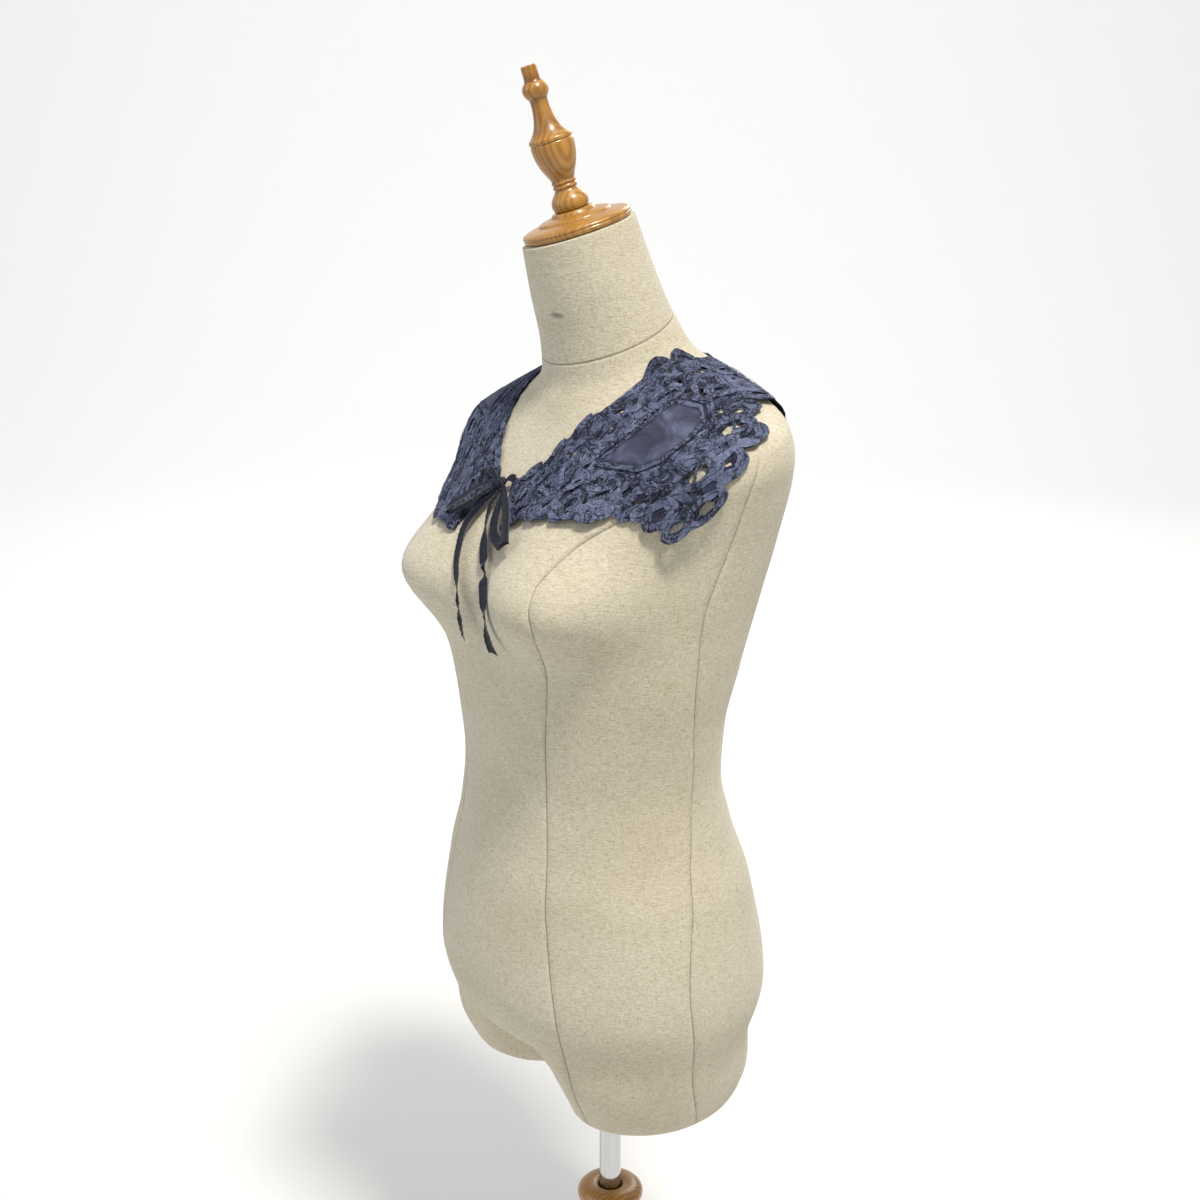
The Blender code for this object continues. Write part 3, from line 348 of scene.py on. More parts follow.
knotPiece()
lengths = {name: ribbonPiece(name) for name in strands}
print("ribbon tie made", {k: round(v, 3) for k, v in lengths.items()})


# linen cover: unbleached linen jersey, knitted of slubby yarn and stretched over the form. It is matt, with short
# darker and paler slubs that lie across, fine upright ribs, and a slight bloom at grazing light.

linenLook = {
    "shader": {"Roughness": 0.92, "IOR": 1.5, "Sheen Weight": 0.15, "Sheen Roughness": 0.5},
    "patterns": {
        "slubs": ((5.3, 5.3, 1.0), 3.0, 0.62, 0.3), "fine": ((2.4, 2.4, 0.67), 2.0, 0.6, 0.0),
        "upright": ((1.1, 1.1, 6.3), 2.0, 0.6, 0.0), "broad": ((110, 110, 83), 3.0, 0.5, 0.0)},
    "tone": [(0.28, "#ada693"), (0.44, "#c1bbaa"), (0.62, "#cac5b6"), (0.78, "#d6d2c5")],
    "glazes": [("fine", 0.5, [(0.3, "#cec8b8"), (0.55, "#ffffff")]),
               ("upright", 0.4, [(0.34, "#d6d0c2"), (0.5, "#ffffff")]),
               ("broad", 0.6, [(0.35, "#f0ebe0"), (0.65, "#fffefb")])],
    "relief": (("slubs", 0.6, 0.55), ("fine", 0.3, 0.45), ("upright", 0.2, 0.4)),
    # worn spot on the neck: place, one over its half sizes, how it fades out
    "spot": ((0.0135, -0.0635, 1.0005), (120, 40, 380), [(0.5, 0.6), (1.0, 0)]), "spotTone": "#5c5440",
    "seamTone": "#605844", "seamShare": 0.72,
}


def linenCover():
    material, tree, shader, patterns = newMaterial("linen cover", linenLook)
    base = addNode(tree, "ValToRGB", {"Fac": patterns["slubs"]}, linenLook["tone"])
    base = glazed(tree, base, linenLook, patterns)
    spotPlace, spotScale, fade = linenLook["spot"]
    place = addNode(tree, "TexCoord", out="Object")
    away = addNode(tree, "VectorMath", {0: place, 1: spotPlace}, operation="SUBTRACT")
    away = addNode(tree, "VectorMath", {0: away, 1: spotScale}, operation="MULTIPLY")
    away = addNode(tree, "VectorMath", {0: away}, out="Value", operation="LENGTH")
    spot = addNode(tree, "ValToRGB", {"Fac": away}, fade)
    seam = addNode(tree, "Attribute", out="Fac", attribute_name="seam")
    seam = addNode(tree, "Math", {0: seam, 1: linenLook["seamShare"]}, operation="MULTIPLY")
    for share, tone in ((spot, linenLook["spotTone"]), (seam, linenLook["seamTone"])):
        base = addNode(tree, "Mix", {0: share, 6: base, 7: linear(tone)}, out=2, data_type="RGBA")
    finished(tree, shader, base, [(patterns[key], deep, strength) for key, deep, strength in linenLook["relief"]])
    return material


form = {
    # height over the waist, half width, reach to the front, to the back, widest place, squareness, forward tilt
    "sections": [
        (-300, 122, 68, 54, -10, 2.1, 0), (-296, 133, 88, 74, -10, 2.1, 0), (-282, 140, 98, 84, -11, 2.1, 0),
        (-236, 152, 121, 98, -15, 2.1, 0), (-178, 166, 138, 114, -14, 2.1, 0), (-90, 152, 130, 100, -14, 2.1, 0),
        (-42, 136, 122, 85, -17, 2.1, 0), (5, 129, 118, 75, -22, 2.1, 0), (52, 133, 122, 77, -23, 2.1, 0),
        (99, 142, 126, 87, -19, 2.1, 0), (170, 151, 118, 102, -4, 2.2, 0), (214, 159, 106, 108, 6, 2.3, 2),
        (254, 170, 95, 110, 10, 2.4, 6), (276, 175, 87, 106, 12, 2.4, 10), (291, 172, 82, 100, 13, 2.4, 13),
        (303, 157, 77, 93, 13, 2.4, 15), (315, 132, 72, 84, 12, 2.3, 17), (327, 101, 67, 73, 9, 2.2, 19),
        (338, 76, 64, 64, 4, 2.0, 21), (353, 62, 59, 57, -1, 2.0, 22), (375, 55, 61, 45, -8, 2.0, 21),
        (414, 49, 71, 28, -21, 2.0, 18), (449, 44, 79, 14, -32, 2.0, 15.5)],
    "bust": {"height": 172, "angle": 33, "spread": 25, "above": 62, "below": 44, "out": 48},
    "crotch": {"top": -215, "blend": 60, "least": 30, "centre": 0.56, "wide": 0.44, "depth": 0.91},
    "capLean": (15.5, -8.0),                   # forward and to the wearer's right, degrees
    "top": 449, "leansFrom": 330, "neckSeam": 365, "neckSeamDeep": 0.8, "neckSeamRows": (-2.2, -0.7, 0.0, 0.7, 2.2),
    "seamWide": 0.65, "seamDeep": 0.9, "pucker": 0.28, "seamTop": (278, 296),
    # rows of the cover: the hem's lowest, highest and count, then from, to and pace, finest over the shoulders
    "hem": (-300, -280, 8), "rows": [(-274, 236, 6.2), (236, 344, 3.0), (344, 449, 4.5)], "leastRow": 0.45,
    "columns": [19, 21, 12, 12, 21, 19, 28],    # between one seam and the next, the last across the front
    "socket": [(0.0112, 0.0), (0.0108, 0.001), (0.0107, 0.05)],    # the pole's hole: radius and rise
}
# plan angle of each upright seam from the centre front, by height over the waist
seams = {
    "princess": [(-300, 50), (-230, 44), (-161, 39.5), (-120, 37), (-79, 35), (22, 36), (116, 38), (139, 37),
                 (161, 35.8), (180, 34), (194, 33.7), (207, 35.7), (228, 41.9), (252, 54.2), (276, 64), (305, 68),
                 (340, 66), (449, 60)],
    "side": [(-300, 92), (-226, 86), (-154, 82.4), (-75, 86.6), (20, 95.5), (114, 88.8), (170, 85), (233, 87),
             (264, 88), (293, 90.3), (340, 92), (449, 95)],
    "back": [(-300, 138), (-161, 146), (-60, 150), (20, 152), (120, 151), (200, 146), (250, 134), (280, 122),
             (305, 116), (340, 122), (449, 130)],
}


def formReach(height, degrees):
    # how far the form stands out at a height, with the legs parting below and the bust added above
    half, front, back, widest, square, tilt = (smoothTable(form["sections"], height, n) for n in range(1, 7))
    turnAt = np.radians(degrees)
    across, along = np.sin(turnAt), -np.cos(turnAt)
    depth = np.where(along < 0, front + widest, back - widest)
    reach = 1 / ((abs(across) / half) ** square + (abs(along) / depth) ** square) ** (1 / square)
    legs = form["crotch"]
    share = min(1.0, max(0.0, (legs["top"] - height) / legs["blend"]))
    share = share * share * (3 - 2 * share)
    if share > 0:
        centre, wide = half * legs["centre"], half * legs["wide"]
        found = np.full(len(across), float(legs["least"]))
        for side in (-1, 1):
            a = (across / wide) ** 2 + (along / (depth * legs["depth"])) ** 2
            b = -2 * across * side * centre / wide ** 2
            root = b * b - 4 * a * ((centre / wide) ** 2 - 1)
            far = np.where(root > 0, (-b + np.sqrt(np.maximum(root, 0))) / (2 * a), 0)
            found = np.maximum(found, far)
        reach = reach * (1 - share) + share * found
    bust = form["bust"]
    rise = height - bust["height"]
    fade = math.exp(-((rise / (bust["above"] if rise > 0 else bust["below"])) ** 2))
    for side in (-1, 1):
        away = (np.asarray(degrees) - side * bust["angle"] + 180) % 360 - 180
        reach = reach + bust["out"] * fade * np.exp(-((away / bust["spread"]) ** 2))
    return reach, across, along, widest, tilt


def formPoints(height, degrees, sink=0.0):
    reach, across, along, widest, tilt = formReach(height, degrees)
    reach = reach - sink
    lean = math.radians(tilt)
    risen = (height - form["leansFrom"]) / (form["top"] - form["leansFrom"])
    aside = math.radians(form["capLean"][1]) * min(1.0, max(0.0, risen))
    xs = reach * across * math.cos(aside)
    ys = widest + reach * along * math.cos(lean)
    zs = height + reach * along * math.sin(lean) - reach * across * math.sin(aside) / math.cos(lean)
    return np.stack([xs, ys, zs + waist / mm], axis=1) * mm


def seamAngles(height):
    left = [smoothTable(seams[name], height, 1) for name in ("princess", "side", "back")]
    return left + [180.0] + [360 - a for a in reversed(left)]


linen = linenCover()


def makeTorso():
    seed = random.Random(5)
    heights = {*np.linspace(*form["hem"]), float(form["top"])}
    heights |= {h for rows in form["rows"] for h in np.arange(*rows)}
    heights = sorted(heights | {form["neckSeam"] + away for away in form["neckSeamRows"]})
    clean = [heights[0]]
    for h in heights[1:]:
        if h - clean[-1] > form["leastRow"]:
            clean.append(h)
    points, seamMark = [], []
    for h in clean:
        marks = seamAngles(h)
        radius = formReach(h, np.array(marks))[0]
        middleSeam = 1.0 if h < form["neckSeam"] - 1 else 0.0
        first, last = form["seamTop"]
        sideSeams = min(1.0, max(0.0, (last - h) / (last - first)))
        angles, dips, lines = [], [], []
        for k, (at, count) in enumerate(zip(marks, form["columns"])):
            nextAt = marks[k + 1] if k + 1 < len(marks) else marks[0] + 360
            step = math.degrees(form["seamWide"] / radius[k])
            nextStep = math.degrees(form["seamWide"] / radius[(k + 1) % len(marks)])
            pull = seed.uniform(-1, 1) * form["pucker"]
            fadeSeam = middleSeam if at == 180.0 else sideSeams
            angles += [at, at + step]
            dips += [form["seamDeep"] * fadeSeam, pull * fadeSeam]
            lines += [fadeSeam, 0.0]
            inner = np.linspace(at + step, nextAt - nextStep, count + 2)[1:]
            angles += list(inner)
            lines += [0.0] * len(inner)
            pull = seed.uniform(-1, 1) * form["pucker"]
            dips += [0.0] * (len(inner) - 1) + [pull * fadeSeam]
        nearNeck = math.exp(-((h - form["neckSeam"]) / 0.5) ** 2)
        dips = np.array(dips) + form["neckSeamDeep"] * nearNeck
        lines = np.maximum(np.array(lines), 1.0 if nearNeck > 0.5 else 0.0)
        points += [Vector(p) for p in formPoints(h, np.array(angles), dips)]
        seamMark += list(lines)
    n = len(points) // len(clean)
    faces = []
    for k in range(len(clean) - 1):
        for i in range(n):
            j = (i + 1) % n
            faces.append((k * n + i, k * n + j, (k + 1) * n + j, (k + 1) * n + i))
    # underside with the pole's socket, and the plain top under the cap
    low = waist + form["hem"][0] * mm
    ring = points[:n]
    first = len(points)
    for radius, rise in form["socket"]:
        for p in ring:
            way = Vector((p.x, p.y, 0)).normalized()
            points.append(Vector((way.x * radius, way.y * radius, low + rise)))
            seamMark.append(0.0)
    for i in range(n):
        j = (i + 1) % n
        faces.append((j, i, first + i, first + j))
        for level in (0, 1):
            a = first + level * n
            faces.append((a + j, a + i, a + n + i, a + n + j))
    faces.append(tuple(first + 2 * n + i for i in reversed(range(n))))
    top = (len(clean) - 1) * n
    faces.append(tuple(top + i for i in range(n)))
    return newPiece("linen_torso", points, faces, linen, "form", {"seam": seamMark})


torso = makeTorso()
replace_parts(torso, "torso")
torsoTree = BVHTree.FromPolygons([v.co.copy() for v in torso.data.vertices],
                                 [tuple(p.vertices) for p in torso.data.polygons])
print("torso made", len(torso.data.polygons))


# honey beech, turned on a lathe and varnished. The clear coat gives small sharp highlights, growth lines run along
# the turning, the pores are short dark flecks, and the grooves are painted darker as painted shade.

woodLook = {
    "shader": {"Roughness": 0.34, "IOR": 1.5, "Coat Weight": 0.35, "Coat Roughness": 0.12},
    "on": "grain",
    "patterns": {"warp": ((25, 25, 140), 3.0, 0.5, 0.0), "pores": ((0.67, 0.67, 11), 3.0, 0.7, 0.0)},
    "growth": 3.7, "stretch": 0.12,             # mm from line to line, and how slowly they change along the grain
    "tone": [(0.0, "#966b2d"), (0.5, "#a67b36"), (1.0, "#b18640")],
    "glazes": [("warp", 0.75, [(0.3, "#e2d0b0"), (0.7, "#ffffff")]),
               ("pores", 0.45, [(0.30, "#78481e"), (0.44, "#ffffff")])],
    # the grooves' tone and share: the grooves are painted darker towards this tone, as painted shade
    "grooveShadeTone": "#4e2c0e", "grooveShadeShare": 0.6,
}


def varnishedWood():
    material, tree, shader, patterns = newMaterial("varnished beech", woodLook)
    grain = addNode(tree, "Attribute", out="Vector", attribute_name="grain")
    stretched = addNode(tree, "Mapping", {"Vector": grain, "Scale": (1, 1, woodLook["stretch"])})
    # a wave's bands lie a full turn apart at 20 times its scale
    growth = addNode(tree, "TexWave", {
        "Vector": stretched, "Scale": math.tau / 20 / (woodLook["growth"] * mm), "Distortion": 5.5, "Detail": 3.0,
        "Detail Scale": 1.0}, out="Fac", wave_type="BANDS", bands_direction="X")
    base = addNode(tree, "ValToRGB", {"Fac": growth}, woodLook["tone"])
    base = glazed(tree, base, woodLook, patterns)
    # painted shade in the grooves, as deep as hollows() found them
    grooveShade = addNode(tree, "Attribute", out="Fac", attribute_name="grooveShade")
    grooveShade = addNode(tree, "Math", {0: grooveShade, 1: woodLook["grooveShadeShare"]}, operation="MULTIPLY")
    base = addNode(tree, "Mix", {0: grooveShade, 6: base, 7: linear(woodLook["grooveShadeTone"])}, out=2, data_type="RGBA")
    finished(tree, shader, base, [(patterns["pores"], 0.12, 0.35)])
    return material


wood = varnishedWood()


def softened(profile, rounds=2):
    # corners cut twice, wide at gentle bends and close at sharp ones
    line = [Vector(p) for p in profile]
    for _ in range(rounds):
        eased = [line[0]]
        for before, here, after in zip(line, line[1:], line[2:]):
            bend = (here - before).angle(after - here, 0.0)
            if bend < math.radians(62):
                eased += [here.lerp(before, 0.25), here.lerp(after, 0.25)]
            else:
                eased += [here.lerp(before, 0.06), here.lerp(after, 0.06)]
        line = eased + [line[-1]]
    return line


def hollows(line):
    # how far each point of a profile lies inside the chord of its neighbours: the grooves get painted shade by this
    # depth
    found = []
    for i, here in enumerate(line):
        before, after = line[max(i - 2, 0)], line[min(i + 2, len(line) - 1)]
        way = Vector((before.y - after.y, after.x - before.x))
        depth = ((before + after) / 2 - here).dot(way) / max(way.length, 1e-6)
        found.append(min(1.0, max(0.0, depth / 0.45)))
    return found


def spinProfile(bm, outline, steps):
    edges = [bm.edges.new(pair) for pair in zip(outline, outline[1:])]
    bmesh.ops.spin(bm, geom=outline + edges, cent=(0, 0, 0), axis=(0, 0, 1), angle=2 * math.pi, steps=steps,
                   use_merge=True)
    bmesh.ops.remove_doubles(bm, verts=bm.verts, dist=1e-7)
    bmesh.ops.recalc_face_normals(bm, faces=bm.faces)


def turnedPiece(name, profile, place, axis, material, body, steps=96, plank=False):
    # a profile softened and spun; a plank's grain runs across it instead of up it
    line = softened(profile)
    bm = bmesh.new()
    # how deep each point lies in a groove, for the painted shade there
    grooveShade = bm.verts.layers.float.new("grooveShade")
    grain = bm.verts.layers.float_vector.new("grain")
    outline = [bm.verts.new((r * mm, 0, z * mm)) for r, z in line]
    for vert, depth in zip(outline, hollows(line)):
        vert[grooveShade] = depth
    spinProfile(bm, outline, steps)
    for vert in bm.verts:
        x, y, z = vert.co
        along = Vector((z + 0.3 * y, y * 0.4, x)) if plank else vert.co
        vert[grain] = along + Vector((0.013, 0.004, len(name) * 0.037))
    lean = Vector((0, 0, 1)).rotation_difference(axis).to_matrix().to_4x4()
    bmesh.ops.transform(bm, matrix=Matrix.Translation(place) @ lean, verts=bm.verts)
    mesh = bpy.data.meshes.new(name)
    bm.to_mesh(mesh)
    bm.free()
    return settled(name, mesh, material, body, sharp=turnings["sharpFrom"])


turnings = {
    "cap": [(0, 17), (15.5, 17), (17, 16.4), (17.9, 14.6), (18.3, 13.7), (19.3, 14.2), (24, 13.4), (28.5, 12.2),
            (29.6, 11.2), (30, 10), (31, 10.5), (38, 9.2), (42.5, 7.8), (44.2, 6.4), (44.5, 4.9), (43.8, 4.2),
            (44.4, 3.4), (43.8, 1.2), (42, 0), (0, 0)],
    "finial": [
        (0, 113), (5.8, 113), (6.3, 112.3), (6.3, 101), (8.4, 99.5), (10.2, 96.5), (10.5, 93.8), (9.8, 90.7),
        (8.4, 88.3), (6.9, 87), (7.1, 80.5), (8.4, 72), (11.2, 64.2), (15.2, 59), (17, 57.5), (17.5, 56.3),
        (17.5, 54.6), (16.6, 53.8), (17.4, 52.8), (17.3, 46), (16, 39.3), (13.6, 32.6), (10.6, 26.8),
        (9.2, 23.5), (9.9, 22.3), (9.9, 21), (8.9, 20), (9.8, 18.9), (9.8, 17.4), (8.9, 16.3), (9.6, 14.8),
        (11.5, 12.7), (14, 9.4), (15, 5.8), (14.8, 3), (13.6, 0), (0, 0)],
    "capLift": 0.3, "finialLift": 17.6,         # mm over the top of the cover, along the cap's axis
    "hubTop": 187, "bore": 10.6, "postFloor": 12, "baseHeight": 22, "baseGap": 0.3, "baseSteps": 128,
    "sharpFrom": 38, "poleSteps": 72,           # degrees between faces, and faces round the pole
}


def capPlace():
    # the middle of the form's top and the way that it leans
    ring = formPoints(float(form["top"]), np.arange(0, 360, 360 / 44))
    forward, sideways = (math.radians(a) for a in form["capLean"])
    axis = Vector((math.sin(sideways), -math.sin(forward), math.cos(forward))).normalized()
    return Vector(ring.mean(0)), axis


centre, axis = capPlace()
for key, node in (("cap", "neck_cap"), ("finial", "finial")):
    place = centre + axis * (turnings[key + "Lift"] * mm)
    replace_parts(turnedPiece("wooden_" + node, turnings[key], place, axis, wood, "form"), node)


def stand():
    top, foot, bore = turnings["hubTop"], turnings["baseHeight"] + turnings["baseGap"], turnings["bore"]
    baseLine = [(0, 22), (60, 22), (96, 20), (112, 16.5), (118, 12.5), (132, 11), (138.5, 8), (140, 4.5),
                (138.5, 0), (0, 0)]
    postLine = [
        (0, foot + turnings["postFloor"]), (bore, foot + turnings["postFloor"]), (bore, top - 2.4), (13, top - 0.6),
        (15.5, top), (22, top), (27, top - 2), (30.5, top - 6.5), (30.2, top - 12), (27.5, top - 18),
        (21, top - 23.5), (17, top - 27), (16.5, top - 30), (19.5, top - 33), (19.5, top - 37),
        (16.5, top - 40), (17.2, top - 56), (21, top - 84), (24.6, top - 108), (26, top - 122),
        (23, top - 134), (20, top - 141), (24, top - 145), (34, top - 151), (40, foot + 6), (41, foot + 2),
        (40, foot), (0, foot)]
    up = Vector((0, 0, 1))
    base = turnedPiece("wooden_base", baseLine, Vector(), up, wood, "stand",
                       steps=turnings["baseSteps"], plank=True)
    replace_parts(base, "base")
    post = turnedPiece("wooden_post", postLine, Vector(), up, wood, "stand")
    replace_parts(post, "post")


stand()
print("turned wood made")


# chromed steel tube, drawn and polished. It mirrors the room, with faint marks along its length and a few duller
# smears where hands have slid it.

chromeLook = {
    "shader": {"Roughness": 0.08, "Metallic": 1.0},
    "patterns": {"marks": ((0.6, 0.6, 83), 2.0, 0.5, 0.0), "smears": ((17, 17, 33), 3.0, 0.5, 0.0)},
    "tone": [(0.3, "#b8babe"), (0.7, "#cccdd0")], "rough": [(0.4, 0.06), (0.7, 0.16)],
}


def chromeTube():
    material, tree, shader, patterns = newMaterial("chromed tube", chromeLook)
    for socket, key, stops in (("Base Color", "marks", "tone"), ("Roughness", "smears", "rough")):
        shade = addNode(tree, "ValToRGB", {"Fac": patterns[key]}, chromeLook[stops])
        tree.links.new(shade, shader.inputs[socket])
    return material


low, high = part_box("pole")
poleTop, poleFoot = high[2] / mm, low[2] / mm
poleLine = [(0, poleTop), (9.4, poleTop), (10, poleTop - 0.6), (10, poleFoot + 0.6), (9.4, poleFoot), (0, poleFoot)]
pole = turnedPiece("chrome_pole", poleLine, Vector(), Vector((0, 0, 1)), chromeTube(), "pole",
                   steps=turnings["poleSteps"])
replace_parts(pole, "pole")
print("chrome pole made")


# the collar: each half is a flat cut, laid on the form

collar = {
    "neckAxis": Vector((-0.006, 0, 0)), "turn": -5.0, "frontEdge": (4.0, 12.5), "frontWidthAt": 15,
    "neckClearance": 0.5, "clearance": 0.9, "grip": 14.0, "backSeam": 179.75, "openLobe": 7, "wideHoles": (6, 10),
    "flatNeck": 150.0, "sweep": 92.0, "lobeDepth": 8.0, "lobeRound": 0.6, "rayHeight": waist + 0.165,
    "insertLap": 2.2, "ringIn": 9.5, "ring": (22.0, 14.0), "ringShare": 0.92, "ridgeRise": 1.6,
    "lobeOpenings": [(11.5, 6.2), (7.5, 4.8)],
    # small waves of the neck edge: depth, pitch and end in degrees; then its lobes: start, end, height
    "neckWaves": (2.6, 8.0, 56), "neckLobes": [(84, 99, 9.5), (104, 119, 10.0)],
    # what the gathers leave of each opening's size, and how much its outline strays
    "openAt": {"shoulder": 0.95, "side": 0.6, "front": 0.48, "gap": 1.15, "openLobe": 1.5, "wideHole": 0.8,
               "lobe": 0.5},
    "stray": {"leaf": 0.24, "gap": 0.26, "lobe": 0.2},
    "frontHole": (20, 24, 5.2, 4.4, 40),        # in the right half: angle, distance down, length and breadth, turn
}
# plan angle from the centre front, distance of the neck edge from the neck's axis, width of the collar
cuts = {
    "left": [
        (0, 92, 50), (15, 88, 49), (26, 83.8, 53), (37, 80, 68), (51, 77, 90.5), (58, 76.2, 99.5), (65, 75.2, 105),
        (70, 74.5, 117.5), (75, 74.1, 136), (79, 73.9, 149), (83, 73.5, 148), (87, 73, 139), (91, 72.3, 129),
        (95, 72, 118), (99, 72, 116.5), (102, 71, 106.5), (105, 71.5, 90), (107, 72, 82), (110, 74, 77),
        (116, 77.5, 74), (123, 82, 76), (129, 84, 78), (135, 85, 95), (142, 83.5, 111), (150, 80.5, 118),
        (165, 75, 118), (180, 72, 118)],
    "right": [
        (0, 96.5, 56), (15, 92.5, 62.5), (22, 89.5, 74), (30, 85.5, 87), (37, 81.5, 93), (45, 77, 99),
        (60, 72.8, 115), (70, 72, 130), (78, 72, 143), (86, 72, 142), (93, 71, 138), (98, 71, 125), (103, 71, 103),
        (109, 71, 91), (116, 71, 96), (123, 71, 108), (135, 71, 119), (150, 72, 121), (165, 72, 119),
        (180, 72, 118)],
}
# soft ridges that run down and out: angle, spread, rise at the outer edge
ridges = {
    "left": [(24, 9, 2), (51, 8, 4), (79, 8, 9), (100, 7, 3), (117, 9, 3.5), (141, 10, 2), (168, 8, 2)],
    "right": [(20, 8, 2.5), (44, 9, 1.5), (71, 9, 2), (101, 9, 2), (133, 9, 3), (162, 9, 3)],
}
# corners of the insert's window: angle, distance down from the neck edge
insertCorners = [(57.5, 49), (67, 46.5), (76, 44), (84, 41), (89, 42), (94.5, 58), (92, 71), (85, 80), (77, 86),
                 (71, 79), (64, 62)]
# where one scallop ends and the next starts, as shares of the outer edge from the front
lobeEnds = [0, 0.0625, 0.125, 0.1875, 0.25, 0.3125, 0.352, 0.391, 0.4515, 0.5, 0.5625, 0.625, 0.6875, 0.75, 0.8125,
            0.875, 0.9375, 1]
# leaves of tape: angle, share of the width, length and breadth, turn from the radial line, opening inside
leaves = [
    (18, 0.52, 26, 14, 80, 9.0, 5.2), (33, 0.60, 28, 15, 95, 10.0, 6.0), (26, 0.30, 20, 12, 70, 6.5, 4.6),
    (47, 0.71, 29, 15, 85, 10.0, 5.8), (44, 0.27, 22, 13, 75, 8.0, 5.0), (42, 0.46, 26, 13, 40, 0, 0),
    (53, 0.46, 24, 13, 15, 6.0, 4.6), (59, 0.64, 27, 14, 60, 9.0, 5.2), (60, 0.80, 26, 13, 95, 0, 0),
    (62, 0.22, 24, 13, 80, 7.0, 4.8), (68, 0.79, 28, 15, 60, 10.0, 6.0), (76, 0.26, 26, 13, 88, 0, 0),
    (84, 0.765, 30, 17, 95, 12.5, 9.0), (73, 0.67, 24, 12, 75, 0, 0), (85, 0.68, 24, 12, 100, 0, 0),
    (88, 0.23, 24, 13, 92, 7.5, 4.8), (92, 0.84, 24, 13, 70, 0, 0), (98, 0.785, 30, 20, 95, 15.0, 11.0),
    (99, 0.14, 22, 13, 85, 8.5, 5.2), (101, 0.40, 26, 14, 10, 8.0, 5.4), (108, 0.64, 27, 15, 90, 9.0, 6.0),
    (111, 0.30, 24, 13, 60, 7.0, 5.0), (117, 0.52, 27, 14, 25, 8.0, 5.2), (122, 0.75, 27, 15, 85, 9.0, 6.0),
    (124, 0.30, 24, 13, 80, 7.0, 5.0), (129, 0.57, 27, 14, 150, 8.5, 5.2), (136, 0.78, 28, 15, 90, 10.0, 6.0),
    (137, 0.36, 26, 13, 70, 0, 0), (141, 0.58, 27, 14, 20, 9.0, 5.4), (149, 0.78, 28, 15, 95, 9.5, 6.0),
    (149, 0.34, 26, 14, 95, 8.0, 5.2), (153, 0.57, 27, 14, 155, 8.5, 5.2), (162, 0.78, 28, 15, 85, 10.0, 6.0),
    (161, 0.36, 26, 13, 75, 0, 0), (165, 0.57, 27, 14, 25, 9.0, 5.4), (172, 0.34, 24, 14, 95, 8.0, 5.2),
    (173, 0.78, 26, 15, 95, 9.5, 6.0), (176, 0.56, 20, 12, 0, 0, 0)]

# small gaps between the tapes: angle, share of the width, length and breadth, turn from the radial line
gaps = [
    (21, 0.44, 3.4, 2.6, 40), (25, 0.26, 3.2, 2.4, 90), (44, 0.26, 6.0, 3.4, 70), (52, 0.50, 5.0, 2.6, 20),
    (53, 0.84, 3.4, 2.6, 0), (58, 0.18, 3.6, 2.6, 60), (68, 0.13, 4.4, 3.8, 90), (74, 0.13, 4.6, 3.2, 30),
    (96, 0.10, 6.4, 4.6, 80), (96, 0.22, 4.6, 4.2, 20), (94, 0.34, 8.0, 4.2, 95), (100, 0.62, 5.6, 5.0, 60),
    (105, 0.80, 6.4, 6.0, 30), (114, 0.24, 4.6, 3.2, 90), (133, 0.46, 5.0, 3.6, 60), (157, 0.22, 4.6, 3.4, 20)]


